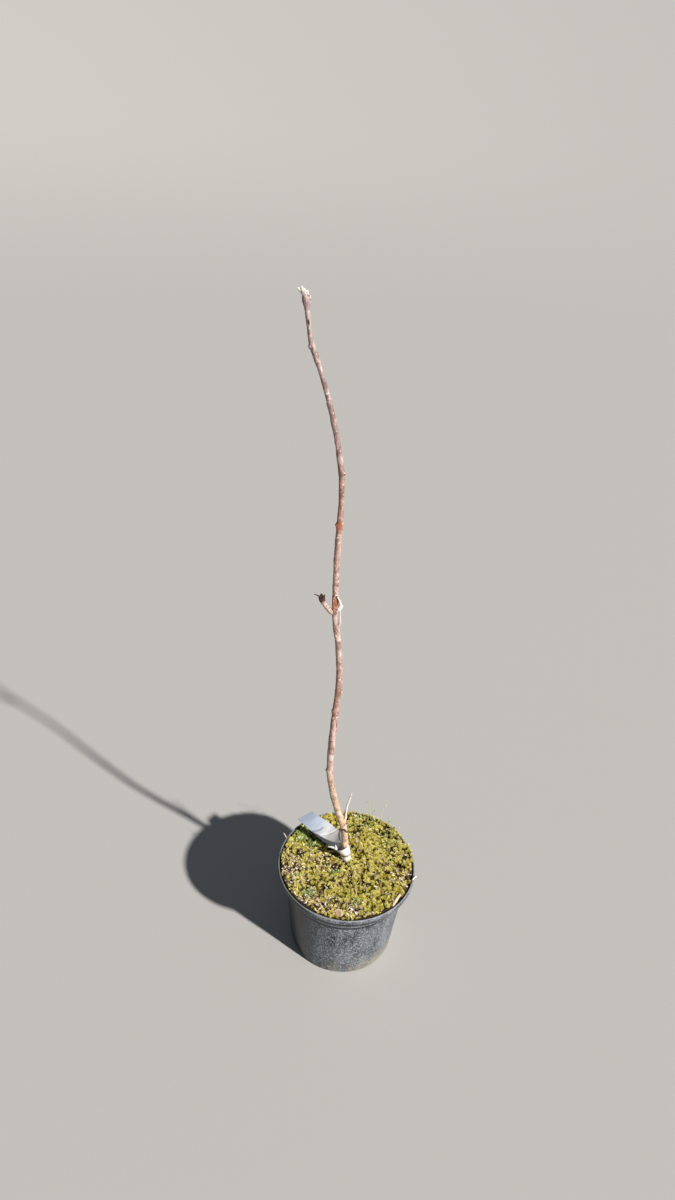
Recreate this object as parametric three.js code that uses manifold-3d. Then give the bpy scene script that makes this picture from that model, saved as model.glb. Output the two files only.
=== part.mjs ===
// A potted sapling: one bare, cut-back stem in a black nursery container.
// The stem stands in a mossy root ball and carries short pruned spurs, a dead twig and a blank label.
// Millimetres, +Z up. The origin is the centre of the container's flat underside; its front faces -Y.

import * as THREE from "three";
import { mergeVertices } from "three/addons/utils/BufferGeometryUtils.js";
import Module from "manifold-3d";

const wasm = await Module();
wasm.setup();

// Driving dimensions.

const GAP = 0.3; // clearance between pieces that touch

const POT = {
  height: 207,
  lipRadius: 140, // outside of the rolled lip
  lipRoll: 1.2, // how far the lip curls in at its top
  lipUndercut: 0.8, // and at its foot
  lipInnerRadius: 136.5,
  lipInnerDrop: 0.4, // the lip's top slopes down to its inner edge
  lipDraft: 2, // how far the lip's inside draws in towards its foot
  lipDepth: 11,
  lipNeck: 0.5, // the splay meets the lip's foot this far inside its inner edge
  lipLedge: 1.4, // and this far below the lip's foot
  splayDepth: 19, // from the top of the lip to where the wall's inside starts to splay out to it
  splayLag: 1.6, // the outside starts to splay this much lower
  bandRadius: 129, // outside of the stacking band, at its top
  bandHeight: 38, // from the top of the lip to the step under the band
  bandTaper: 3,
  step: 3.5,
  baseRadius: 108,
  baseRound: 6,
  baseFacets: 3,
  wall: 2,
  floor: 3,
  sides: 64,
};

const DRAIN = { count: 8, radius: 6, circle: 84, sides: 12 };

const COMPOST_TOP = 197; // height of the root ball's levelled top
const COMPOST_BEVEL = 1; // the top's edge is drawn in from the wall

// The middle of the stem at each of its bends: height, distance to the right, distance to the back.
const STEM_BENDS = [
  [188, 2.6, 13],
  [243, -5.2, 13.8],
  [290, -10.9, 14.5],
  [340, -25.7, 14.5],
  [395, -39, 11.7],
  [455, -46.8, 8.8],
  [560, -44.9, 6.8],
  [660, -40.9, 7.2],
  [735, -46.3, 8.7],
  [800, -55.2, 7.3],
  [900, -57.8, 4],
  [1015, -56.6, 0.9],
  [1075, -63, 1],
  [1145, -79, 3.8],
  [1205, -99, 6.2],
  [1232, -109.6, 7.1],
  [1265, -116.4, 8.1],
  [1297, -120.8, 9.2],
];

const STEM = {
  footRadius: 7.1,
  tipRadius: 3.4,
  flareRadius: 1.7, // how far the root flare stands out at the cut
  flareHeight: 7,
  headRadius: 1.6, // swelling of the callus head below the broken leader
  headHeight: 14,
  headFlat: 2, // the head keeps its full width over this length at the cut
  sides: 14,
  steps: 76,
};

// Buds and old leaf scars along the stem: height, bearing in degrees from +X, rise off the bark, length.
const NODES = [
  [362, 70, 1.3, 9],
  [450, 182, 2.2, 8],
  [530, 262, 1.6, 11],
  [595, 186, 1.7, 10],
  [640, 350, 1.6, 9],
  [706, 95, 1.5, 9],
  [826, 300, 1.8, 12],
  [902, 60, 1.5, 9],
  [966, 190, 2.4, 9],
  [1052, 345, 2.2, 11],
  [1100, 120, 1.3, 8],
  [1131, 340, 1.5, 9],
  [1154, 200, 1.2, 7],
  [1212, 270, 1.4, 8],
  [1233, 178, 2.0, 7],
  [1266, 275, 1.3, 8],
];
const NODE_SHAPE = { sunk: 0.8, width: 1.8, sides: 8, rings: 6 }; // depth and half width: shares of the rise

// Side growth: the line of each piece from inside the stem to its tip, and its radius at each end.
const SPUR_LEFT = {
  line: [
    [-55.5, 7, 806],
    [-66, 5.6, 809],
    [-75, 4.6, 820],
    [-81, 4, 835],
  ],
  radii: [3.9, 2.9],
  sides: 10,
  steps: 8,
};

const SPUR_RIGHT = {
  line: [
    [-55.4, 7, 808],
    [-49, 5.5, 813],
    [-43, 4.2, 821],
  ],
  radii: [3.2, 2.3],
  sides: 10,
  steps: 5,
};

const FOOT_TWIG = {
  line: [
    [-14, 14.8, 302],
    [-8.6, 15.3, 315],
    [-8.8, 15.4, 332],
    [-8.2, 15.2, 350],
    [-4.2, 15, 370],
    [-1, 15, 387],
  ],
  radii: [1.7, 0.8],
  sides: 8,
  steps: 14,
};

// The broken leader above the callus head: its offsets from the middle of the head's cut.
const TOP_SNAG = {
  line: [
    [-0.6, 0, 0.3],
    [-4.6, 0.2, 6],
    [-10.8, 0.4, 11.6],
  ],
  radii: [3.7, 1.3],
  sides: 9,
  steps: 6,
};
const TOP_STUB = { offset: [4.4, -1.2, -2.6], radius: 1.5, tipRadius: 1.05, height: 5.5, sides: 7 };

const LABEL = {
  sheet: 0.6, // thickness of the plastic
  collarFootHeight: 204, // the collar's lower edge hugs the stem
  collarFootRadius: 8.3,
  collarTopHeight: 236,
  collarTopRadius: 14.6,
  collarTopOffset: [-5.2, -1], // its upper edge opens to the left of the stem
  collarTilt: 5, // how far the upper edge rises on the right and drops on the left
  collarSides: 28,
  // The card's two long edges, from the collar's rim out past the pot's lip. It drops steeply at first.
  cardLeft: [
    [-24.2, 7.4, 235.7],
    [-28, 18, 229.5],
    [-36, 31, 221],
    [-60.5, 55.9, 213.3],
    [-91, 88.5, 210],
    [-107.8, 109.6, 206.4],
  ],
  cardRight: [
    [-9.8, 24, 236.9],
    [-13.5, 47, 232.5],
    [-22.3, 75, 221.5],
    [-40.3, 92.6, 219.5],
    [-64.8, 110, 220.5],
    [-77.9, 124.7, 217],
  ],
  cardCells: [20, 6],
};

const MOSS = {
  cushions: 22,
  height: [4.5, 8.5], // lowest and highest crown of a cushion
  edge: 2.4, // height of a cushion's rim
  rings: [0.84, 0.58, 0.28], // of the dome, as shares of a cushion's reach
  roundness: 0.75, // of the dome; 1 is a cosine, less is fuller
  lump: 0.6, // how far the dome's points stand out or in
  cornerPower: 7, // the higher, the sharper the corners between neighbours
  footClear: 10.5, // kept free round the stem's foot
  nearest: 16.8, // a cushion whose middle is nearer to the stem than this is left out
  turnJitter: 0.25, // radians
  innermost: 0.2, // offset of the first cushion from the middle, in cushions
  outermost: 2.2, // and of the last one from the wall
  segments: 14,
  seed: 41,
};

const TRIM = 80; // side of the blocks that cut a piece flat, larger than the piece

// Colours, in sRGB.
const COLOURS = {
  potPlastic: "#3a3d42",
  compost: "#4a3527",
  moss: "#8f962c",
  bark: "#8a6a58",
  spurBark: "#6b4336",
  paleWood: "#c9b7a6",
  twig: "#a8998c",
  label: "#dfe2ea",
};

// Helpers.

// A repeatable source of numbers between 0 and 1.
function seeded(seed) {
  let state = seed >>> 0;
  return () => {
    state = (state + 0x6d2b79f5) >>> 0;
    let t = state;
    t = Math.imul(t ^ (t >>> 15), t | 1);
    t ^= t + Math.imul(t ^ (t >>> 7), t | 61);
    return ((t ^ (t >>> 14)) >>> 0) / 4294967296;
  };
}

function smoothstep(low, high, value) {
  const t = Math.min(1, Math.max(0, (value - low) / (high - low)));
  return t * t * (3 - 2 * t);
}

function closed(geometry) {
  const bare = geometry.clone();
  bare.deleteAttribute("normal");
  bare.deleteAttribute("uv");
  return mergeVertices(bare, 1e-4);
}

function toSolid(geometry) {
  const merged = closed(geometry);
  return new wasm.Manifold(
    new wasm.Mesh({
      numProp: 3,
      vertProperties: merged.attributes.position.array,
      triVerts: new Uint32Array(merged.index.array),
    }),
  );
}

function toGeometry(solid) {
  const mesh = solid.getMesh();
  const positions = new Float32Array(mesh.numVert * 3);
  for (let i = 0; i < mesh.numVert; i++) {
    const from = i * mesh.numProp;
    positions.set(mesh.vertProperties.subarray(from, from + 3), i * 3);
  }
  const geometry = new THREE.BufferGeometry();
  geometry.setAttribute("position", new THREE.BufferAttribute(positions, 3));
  geometry.setIndex(new THREE.BufferAttribute(mesh.triVerts, 1));
  geometry.computeVertexNormals();
  return geometry;
}

// Moves every vertex of a geometry to the place that a function gives for it.
function reshape(geometry, place) {
  const positions = geometry.attributes.position;
  const point = new THREE.Vector3();
  for (let i = 0; i < positions.count; i++) {
    point.fromBufferAttribute(positions, i);
    const moved = place(point);
    positions.setXYZ(i, moved.x, moved.y, moved.z);
  }
  return geometry;
}

// A lathe turns about its own Y axis; this stands it up about +Z.
function lathe(profile, sides) {
  const points = profile.map(([radius, height]) => new THREE.Vector2(radius, height));
  return new THREE.LatheGeometry(points, sides).rotateX(Math.PI / 2);
}

function vector([x, y, z]) {
  return new THREE.Vector3(x, y, z);
}

// A tapering limb: a closed cylinder of unit radius whose rings are carried along a curve.
// radiusAt gives each ring's radius from its share of the curve's length.
function limb(curve, radiusAt, sides, steps) {
  const across = new THREE.Vector3(0, 1, 0);
  return reshape(new THREE.CylinderGeometry(1, 1, 1, sides, steps), (point) => {
    const share = Math.min(1, Math.max(0, point.y + 0.5));
    const along = curve.getTangentAt(share);
    const side = new THREE.Vector3().crossVectors(across, along).normalize();
    const front = new THREE.Vector3().crossVectors(side, along);
    const radius = radiusAt(share);
    return curve
      .getPointAt(share)
      .addScaledVector(side, point.x * radius)
      .addScaledVector(front, point.z * radius);
  });
}

function mesh(name, geometry, colour, roughness) {
  const material = new THREE.MeshStandardMaterial({ color: colour, roughness, metalness: 0 });
  const made = new THREE.Mesh(geometry, material);
  made.name = name;
  return made;
}

// Container.

// Outer radius of the wall below the band, at a height.
function wallRadiusAt(height) {
  const top = POT.height - POT.bandHeight - POT.step;
  const topRadius = POT.bandRadius - POT.bandTaper - POT.step;
  return POT.baseRadius + ((topRadius - POT.baseRadius) * height) / top;
}

// The inside of the wall from the floor up to the lip, as radius and height, drawn in by a clearance.
function insideProfile(clearance) {
  const inset = POT.wall + clearance;
  const stepFoot = POT.height - POT.bandHeight - POT.step;
  const stepTop = POT.height - POT.bandHeight;
  return [
    [POT.baseRadius - POT.baseRound - clearance, POT.floor + clearance],
    [wallRadiusAt(POT.baseRound) - inset, POT.baseRound + POT.wall],
    [wallRadiusAt(stepFoot) - inset, stepFoot + POT.wall],
    [POT.bandRadius - POT.bandTaper - inset, stepTop + POT.wall],
    [POT.bandRadius - inset, POT.height - POT.splayDepth],
    [POT.lipInnerRadius - POT.lipDraft - clearance, POT.height - POT.lipDepth],
  ];
}

function buildPot() {
  const stepFoot = POT.height - POT.bandHeight - POT.step;
  const stepTop = POT.height - POT.bandHeight;
  const lipFoot = POT.height - POT.lipDepth;
  const outside = [[0, 0]];
  for (let i = 0; i <= POT.baseFacets; i++) {
    const angle = (i / POT.baseFacets) * (Math.PI / 2);
    outside.push([
      wallRadiusAt(POT.baseRound) - POT.baseRound * (1 - Math.sin(angle)),
      POT.baseRound * (1 - Math.cos(angle)),
    ]);
  }
  outside.push(
    [wallRadiusAt(stepFoot), stepFoot],
    [POT.bandRadius - POT.bandTaper, stepTop],
    [POT.bandRadius, POT.height - POT.splayDepth - POT.splayLag],
    [POT.lipInnerRadius - POT.lipNeck, lipFoot - POT.lipLedge],
    [POT.lipRadius - POT.lipUndercut, lipFoot],
    [POT.lipRadius, lipFoot + POT.lipDepth / 2],
    [POT.lipRadius - POT.lipRoll, POT.height],
    [POT.lipInnerRadius, POT.height - POT.lipInnerDrop],
  );
  const inside = insideProfile(0).reverse();
  const profile = [...outside, ...inside, [0, POT.floor]];
  let solid = toSolid(lathe(profile, POT.sides));
  for (let i = 0; i < DRAIN.count; i++) {
    const angle = (i / DRAIN.count) * Math.PI * 2;
    const cutter = new THREE.CylinderGeometry(DRAIN.radius, DRAIN.radius, POT.floor * 4, DRAIN.sides)
      .rotateX(Math.PI / 2)
      .translate(DRAIN.circle * Math.cos(angle), DRAIN.circle * Math.sin(angle), 0);
    solid = solid.subtract(toSolid(cutter));
  }
  return mesh("pot", toGeometry(solid), COLOURS.potPlastic, 0.62);
}

// Root ball.

const rootBallRadius = POT.lipInnerRadius - POT.lipDraft - GAP;

function buildRootBall() {
  const profile = [
    [0, POT.floor + GAP],
    ...insideProfile(GAP),
    [rootBallRadius - COMPOST_BEVEL, COMPOST_TOP],
    [0, COMPOST_TOP],
  ];
  return mesh("root_ball", lathe(profile, POT.sides), COLOURS.compost, 0.95);
}

// Moss cushions, each filling the cell between its neighbours on the root ball's top.

function mossSites(random) {
  const goldenAngle = Math.PI * (3 - Math.sqrt(5));
  const sites = [];
  for (let i = 1; i <= MOSS.cushions; i++) {
    const share = (i + MOSS.innermost) / (MOSS.cushions + MOSS.outermost);
    const radius = rootBallRadius * Math.sqrt(share);
    const angle = i * goldenAngle + (random() - 0.5) * MOSS.turnJitter;
    sites.push(new THREE.Vector2(radius * Math.cos(angle), radius * Math.sin(angle)));
  }
  return sites;
}

// How far a cushion spreads from its middle in one direction: up to the lines half-way to its neighbours,
// the line that clears the stem's foot, and the container's wall, with the corners between them rounded off.
function cushionReach(site, direction, sites, foot) {
  const edgeRadius = rootBallRadius - GAP;
  const inward = site.dot(direction);
  const toWall = -inward + Math.sqrt(inward * inward - site.lengthSq() + edgeRadius * edgeRadius);
  const limits = [toWall];
  for (const other of [...sites, foot]) {
    if (other === site) continue;
    const offset = other.clone().sub(site);
    const distance = offset.length();
    const facing = offset.normalize().dot(direction);
    const line = other === foot ? distance - MOSS.footClear : distance / 2 - GAP;
    if (facing > 0.05) limits.push(line / facing);
  }
  const sum = limits.reduce((total, limit) => total + Math.pow(limit, -MOSS.cornerPower), 0);
  return Math.pow(sum, -1 / MOSS.cornerPower);
}

function buildMossCushions() {
  const random = seeded(MOSS.seed);
  const foot = new THREE.Vector2(STEM_BENDS[0][1], STEM_BENDS[0][2]);
  const sites = mossSites(random).filter((site) => site.distanceTo(foot) > MOSS.nearest);
  return sites.map((site, index) => {
    const [low, high] = MOSS.height;
    const crown = low + (high - low) * random();
    const base = COMPOST_TOP + GAP;
    const profile = [[0, 0], [1, 0], [1, MOSS.edge]];
    for (const share of MOSS.rings) {
      const rise = Math.pow(Math.cos((share * Math.PI) / 2), MOSS.roundness);
      profile.push([share, MOSS.edge + (crown - MOSS.edge) * rise]);
    }
    profile.push([0, crown]);
    const dome = closed(lathe(profile, MOSS.segments));
    reshape(dome, (point) => {
      const spread = Math.hypot(point.x, point.y);
      const lump = point.z > MOSS.edge * 1.01 ? MOSS.lump * (random() * 2 - 1) : 0;
      const height = base + point.z + lump;
      if (spread < 1e-6) return new THREE.Vector3(site.x, site.y, height);
      const direction = new THREE.Vector2(point.x, point.y).divideScalar(spread);
      const reach = spread * cushionReach(site, direction, sites, foot);
      return new THREE.Vector3(site.x + direction.x * reach, site.y + direction.y * reach, height);
    });
    const number = String(index + 1).padStart(2, "0");
    return mesh("moss_cushion_" + number, dome.toNonIndexed(), COLOURS.moss, 0.95);
  });
}

// Stem.

const stemCurve = new THREE.CatmullRomCurve3(
  STEM_BENDS.map(([height, right, back]) => new THREE.Vector3(right, back, height)),
  false,
  "catmullrom",
  0.5,
);
stemCurve.arcLengthDivisions = 600;
const stemLength = stemCurve.getLength();
const footShare = (COMPOST_TOP + GAP - STEM_BENDS[0][0]) / stemLength;

function stemRadiusAt(share) {
  const fromFoot = Math.max(0, share - footShare) * stemLength;
  const fromTip = (1 - share) * stemLength;
  const taper = STEM.footRadius + (STEM.tipRadius - STEM.footRadius) * share;
  const flare = STEM.flareRadius * (1 - smoothstep(0, STEM.flareHeight, fromFoot));
  const head = STEM.headRadius * (1 - smoothstep(STEM.headFlat, STEM.headHeight, fromTip));
  return taper + flare + head;
}

// The stem's share of length at which it passes a height; the stem rises all the way.
function stemShareAt(height) {
  let low = 0;
  let high = 1;
  for (let i = 0; i < 30; i++) {
    const middle = (low + high) / 2;
    if (stemCurve.getPointAt(middle).z < height) low = middle;
    else high = middle;
  }
  return (low + high) / 2;
}

// A bud or leaf scar: a small pointed swelling laid along the stem's side.
function stemNode([height, bearing, rise, length]) {
  const share = stemShareAt(height);
  const angle = THREE.MathUtils.degToRad(bearing);
  const outward = new THREE.Vector3(Math.cos(angle), Math.sin(angle), 0);
  const along = stemCurve.getTangentAt(share);
  const seat = stemRadiusAt(share) - rise * NODE_SHAPE.sunk;
  const halfWidth = rise * NODE_SHAPE.width;
  const bud = new THREE.SphereGeometry(1, NODE_SHAPE.sides, NODE_SHAPE.rings)
    .scale(halfWidth, halfWidth, length / 2);
  const turn = new THREE.Quaternion().setFromUnitVectors(new THREE.Vector3(0, 0, 1), along);
  const place = stemCurve.getPointAt(share).addScaledVector(outward, seat);
  return bud.applyQuaternion(turn).translate(place.x, place.y, place.z);
}

function stemSolid(clearance) {
  const radiusAt = (share) => stemRadiusAt(share) + clearance;
  return toSolid(limb(stemCurve, radiusAt, STEM.sides, STEM.steps));
}

function buildTrunk() {
  let solid = stemSolid(0);
  for (const node of NODES) {
    solid = solid.add(toSolid(stemNode(node)));
  }
  const head = stemCurve.getPointAt(1).add(vector(TOP_STUB.offset));
  const { radius, tipRadius, height, sides } = TOP_STUB;
  const stub = new THREE.CylinderGeometry(tipRadius, radius, height, sides)
    .rotateX(Math.PI / 2)
    .translate(head.x, head.y, head.z + height / 2);
  solid = solid.add(toSolid(stub));
  const [, right, back] = STEM_BENDS[0];
  const below = new THREE.BoxGeometry(TRIM, TRIM, TRIM)
    .translate(right, back, COMPOST_TOP + GAP - TRIM / 2);
  solid = solid.subtract(toSolid(below));
  return mesh("trunk", toGeometry(solid), COLOURS.bark, 0.85);
}

// A side limb that starts inside the stem and is cut back until it clears the bark.
function sideLimb(name, { line, radii, sides, steps }, colour) {
  const curve = new THREE.CatmullRomCurve3(line.map(vector));
  const radiusAt = (share) => radii[0] + (radii[1] - radii[0]) * share;
  const solid = toSolid(limb(curve, radiusAt, sides, steps)).subtract(stemSolid(GAP));
  return mesh(name, toGeometry(solid), colour, 0.85);
}

function buildTopSnag() {
  const head = stemCurve.getPointAt(1);
  const line = TOP_SNAG.line.map((offset) => vector(offset).add(head));
  const curve = new THREE.CatmullRomCurve3(line);
  const [foot, tip] = TOP_SNAG.radii;
  const solid = toSolid(
    limb(curve, (share) => foot + (tip - foot) * share, TOP_SNAG.sides, TOP_SNAG.steps),
  );
  const along = stemCurve.getTangentAt(1);
  const turn = new THREE.Quaternion().setFromUnitVectors(new THREE.Vector3(0, 0, 1), along);
  const cut = new THREE.BoxGeometry(TRIM, TRIM, TRIM)
    .translate(0, 0, GAP - TRIM / 2)
    .applyQuaternion(turn)
    .translate(head.x, head.y, head.z);
  const beside = head.clone().add(vector(TOP_STUB.offset));
  const clearRadius = TOP_STUB.radius + GAP;
  const stub = new THREE.CylinderGeometry(clearRadius, clearRadius, TOP_STUB.height + GAP * 4, 12)
    .rotateX(Math.PI / 2)
    .translate(beside.x, beside.y, beside.z + TOP_STUB.height / 2);
  const trimmed = solid.subtract(toSolid(cut)).subtract(toSolid(stub));
  return mesh("top_snag", toGeometry(trimmed), COLOURS.paleWood, 0.9);
}

// Label.

// The collar: a band of sheet round the stem's foot, opening upwards and leaning to the left.
function buildLabelCollar() {
  const rise = LABEL.collarTopHeight - LABEL.collarFootHeight;
  const foot = stemCurve.getPointAt(stemShareAt(LABEL.collarFootHeight));
  const [right, back] = LABEL.collarTopOffset;
  const top = stemCurve.getPointAt(stemShareAt(LABEL.collarTopHeight)).add(vector([right, back, 0]));
  const profile = [
    [LABEL.collarFootRadius - LABEL.sheet, 0],
    [LABEL.collarFootRadius, 0],
    [LABEL.collarTopRadius, rise],
    [LABEL.collarTopRadius - LABEL.sheet, rise],
    [LABEL.collarFootRadius - LABEL.sheet, 0],
  ];
  const collar = reshape(lathe(profile, LABEL.collarSides), (point) => {
    const share = point.z / rise;
    const middle = foot.clone().lerp(top, share);
    const tilt = (LABEL.collarTilt * share * point.x) / LABEL.collarTopRadius;
    return new THREE.Vector3(point.x + middle.x, point.y + middle.y, middle.z + tilt);
  });
  return mesh("label_collar", collar, COLOURS.label, 0.4);
}

// The card: a sheet spanned between its two edges, which leaves the collar's rim and rests near the pot's lip.
function buildLabelCard() {
  const left = new THREE.CatmullRomCurve3(LABEL.cardLeft.map(vector));
  const right = new THREE.CatmullRomCurve3(LABEL.cardRight.map(vector));
  const sheet = new THREE.BoxGeometry(1, 1, 1, ...LABEL.cardCells, 1);
  const card = reshape(sheet, (point) => {
    const share = point.x + 0.5;
    const place = left.getPoint(share).lerp(right.getPoint(share), 0.5 - point.y);
    place.z += point.z * LABEL.sheet;
    return place;
  });
  return mesh("label_card", card, COLOURS.label, 0.4);
}

// Assembly.

const sapling = new THREE.Group();

const container = new THREE.Group();
container.add(buildPot());
container.add(buildRootBall());
container.add(...buildMossCushions());
sapling.add(container);

const plant = new THREE.Group();
plant.add(buildTrunk());
plant.add(sideLimb("spur_left", SPUR_LEFT, COLOURS.spurBark));
plant.add(sideLimb("spur_right", SPUR_RIGHT, COLOURS.paleWood));
plant.add(sideLimb("foot_twig", FOOT_TWIG, COLOURS.twig));
plant.add(buildTopSnag());
sapling.add(plant);

const label = new THREE.Group();
label.add(buildLabelCollar());
label.add(buildLabelCard());
sapling.add(label);

export default sapling;
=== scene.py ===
import itertools
import math

import bmesh
import bpy
import numpy as np
from mathutils import Matrix


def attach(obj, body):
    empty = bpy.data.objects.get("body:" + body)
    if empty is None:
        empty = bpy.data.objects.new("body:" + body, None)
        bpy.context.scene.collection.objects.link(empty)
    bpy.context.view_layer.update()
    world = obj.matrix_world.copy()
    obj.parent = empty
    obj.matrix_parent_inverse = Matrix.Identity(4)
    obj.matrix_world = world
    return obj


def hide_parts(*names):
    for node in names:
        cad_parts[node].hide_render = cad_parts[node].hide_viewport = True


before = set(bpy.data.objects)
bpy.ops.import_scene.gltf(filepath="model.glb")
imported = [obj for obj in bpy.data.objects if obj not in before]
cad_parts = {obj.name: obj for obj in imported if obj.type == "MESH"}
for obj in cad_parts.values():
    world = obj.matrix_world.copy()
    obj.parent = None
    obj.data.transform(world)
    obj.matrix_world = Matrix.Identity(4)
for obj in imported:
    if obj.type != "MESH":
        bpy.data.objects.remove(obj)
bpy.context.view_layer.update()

bl_info = {
    "name": "Potted Sapling",
    "version": (1, 0, 0),
    "blender": (4, 5, 0),
    "location": "3D View > Sidebar > Sapling",
    "description": "Dresses a bare pruned sapling, its mossy root ball and its nursery pot",
    "category": "Object",
}

# Sizes and places, in millimetres and degrees.

# The middle of the stem at each of its bends: distance to the right, to the back, and height.
STEM_BENDS = (
    (2.6, 13, 188), (-5.2, 13.8, 243), (-10.9, 14.5, 290), (-25.7, 14.5, 340), (-39, 11.7, 395),
    (-46.8, 8.8, 455), (-44.9, 6.8, 560), (-40.9, 7.2, 660), (-46.3, 8.7, 735), (-55.2, 7.3, 800),
    (-57.8, 4, 900), (-56.6, 0.9, 1015), (-63, 1, 1075), (-79, 3.8, 1145), (-99, 6.2, 1205),
    (-109.6, 7.1, 1232), (-116.4, 8.1, 1265), (-120.8, 9.2, 1297),
)

# Buds and old leaf scars: height, bearing in degrees from +X, rise off the bark, length, darkness of the eye.
STEM_NODES = (
    (362, 70, 1.3, 9, 0.6), (450, 182, 2.2, 8, 0.5), (530, 262, 1.6, 11, 0.9), (595, 186, 1.7, 10, 0.3),
    (640, 350, 1.6, 9, 0.1), (706, 95, 1.5, 9, 0.5), (902, 60, 1.5, 9, 0.6),
    (966, 190, 2.4, 9, 0.0), (1052, 330, 2.4, 12, 1.0), (1100, 120, 1.3, 8, 0.5), (1131, 340, 1.5, 9, 0.4),
    (1154, 200, 1.2, 7, 1.0), (1212, 270, 1.4, 8, 0.7), (1233, 178, 2.0, 7, 0.0), (1268, 275, 1.3, 28, 1.0),
)

# Stretches of rubbed, orange-brown bark: middle height, half length, strength, bearing of the middle.
RUBBED_BARK = (
    (1010, 52, 0.5, 230), (966, 8, 1.3, 260), (825, 11, 1.5, 291), (640, 60, 0.38, 250), (545, 50, 0.32, 300),
    (1175, 30, 0.3, 190),
)

# The wound of a branch that was cut off: middle height, bearing, half its height, half its turn in degrees.
WOUND = (826.5, 293, 10.5, 46)

# Stretches of paler bark, in the same terms. They face the main light: partly paler skin, partly painted
# highlight.
PALE_BARK_AND_PAINTED_HIGHLIGHT = (
    (1292, 16, 0.65, 300), (1262, 30, 0.25, 300), (1222, 22, 0.4, 350), (1070, 14, 0.8, 10),
    (765, 45, 0.55, 290), (1131, 12, 0.8, 345), (330, 60, 0.45, 300), (470, 50, 0.5, 290),
    (560, 45, 0.5, 330), (900, 40, 0.35, 330), (1180, 25, 0.4, 350),
)

# Slow swellings of the stem: middle height, half length, how far each stands out.
SWELLINGS = ((525, 30, 0.5), (940, 35, 0.6))

# The side of the stem that is darkened in streaks as painted shade, away from the main light:
# its bearing, and half its width in degrees.
PAINTED_SHADE_SIDE = (188, 30)

# Places on the root ball's top: distance to the right, to the back, radius, strength.
BRIGHT_MOSS = (
    (66, 50, 56, 1.0), (56, -72, 40, 0.6), (-108, 40, 26, 0.4), (88, 88, 34, 0.8), (-20, -60, 26, 0.4),
    (-40, 112, 24, 0.4), (-96, -66, 24, 0.45),
)
LITTER = (
    (-116, -18, 30, 1.0), (-62, -108, 34, 0.9), (12, -112, 22, 0.7), (76, 2, 26, 0.35), (112, -20, 22, 0.7),
    (-52, -8, 20, 0.5),
)
HOLLOWS = (
    (-21, -12, 15, 1.0), (127, -44, 9, 1.0), (-24, 22, 14, 0.7), (-4, -118, 12, 0.4), (-90, -92, 12, 0.3),
)
# Shaded spots, where the shoots' tone is darkened as painted shade.
SHADED_MOSS = ((-80, 62, 32, 1.0), (-74, -76, 18, 0.5), (24, -94, 12, 0.5), (-30, 30, 16, 0.6))

# The middle of the place at the stem's foot where nothing grows: distance to the right and to the back.
FOOT_CLEARING = (-3, 13)

# Dry stalks that stand out: three places along each, its radius, and its tone from 0, dark, to 1, pale.
LONG_STALKS = (
    ((92, -96, 204), (100, -82, 207.6), (109, -67, 206.8), 3.2, 0.78),
    ((132, -34, 204), (136, -30, 208.5), (142.5, -25, 209.5), 1.3, 1.0),
    ((-127, 55, 204), (-130, 59, 208), (-135.5, 66, 210), 0.8, 0.95),
    ((-60, 70, 204), (-48, 78, 206), (-38, 90, 205), 0.7, 0.7),
)

# The round pale chip near the front: its middle, and half its width.
CHIP_MIDDLE = (-14, -122, 206)
CHIP_REACH = 7.8

# Groups of seedlings: distance to the right, to the back, reach, number of plants.
SEEDLING_GROUPS = (
    (-74, -76, 15, 16), (24, -94, 9, 7), (-86, 72, 26, 60), (-62, 44, 20, 34), (-98, 52, 14, 18),
    (-18, -22, 8, 4), (-96, -40, 10, 5),
)

# Tall moss stalks at the back: distance to the right, to the back, height, lean, tone.
TALL_STALKS = (
    (44, 117, 62, -4, 0.8), (70, 108, 66, 6, 1.0), (91, 94, 40, -3, 0.85), (100, 84, 22, 8, 1.0),
    (50, 119, 34, 7, 0.8), (28, 124, 26, -5, 0.85), (84, 100, 24, 6, 0.3),
)

# Limbs: places along the middle line, radii at even steps along it, rings, points on a ring, unevenness.
LEFT_SPUR = (
    ((-56, 7, 799), (-62, 6, 805), (-69.3, 5.2, 812.5), (-74.6, 4.6, 821), (-78, 4.2, 828.5),
     (-78.8, 4, 834.5)),
    (3.2, 4.6, 3.9, 3.6, 5.0, 5.7), 70, 40, 0.6)
SPUR_THREAD = (
    ((-80, 3.6, 832.5), (-83, 3.6, 834), (-86.9, 3.6, 836.2), (-91.5, 3.6, 837.5)),
    (1.5, 1.2, 1.1, 0.7), 20, 10, 0.2)
DARK_TENDRIL = (
    ((-18, 19, 284), (-18.4, 12.5, 285.5), (-14.2, 7.6, 292), (-9.8, 5.6, 296), (-4.2, 7.4, 288),
     (0.3, 12.6, 282), (5.1, 18, 278.3), (11, 23, 277), (18, 30, 279)),
    (1.0, 1.1, 1.2, 1.2, 1.2, 1.0, 0.8, 0.7, 0.4), 70, 8, 0.2)
DRY_TWIG = (
    ((-14, 14.8, 302), (-9.4, 15.2, 312), (-8.9, 15.4, 324), (-8.7, 15.4, 336), (-8.0, 15.2, 350),
     (-6.0, 15.1, 361), (-4.0, 15, 371), (-1, 15, 387)),
    (2.2, 2.1, 2.1, 1.9, 2.1, 1.8, 1.8, 1.0), 90, 14, 0.6)

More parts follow.
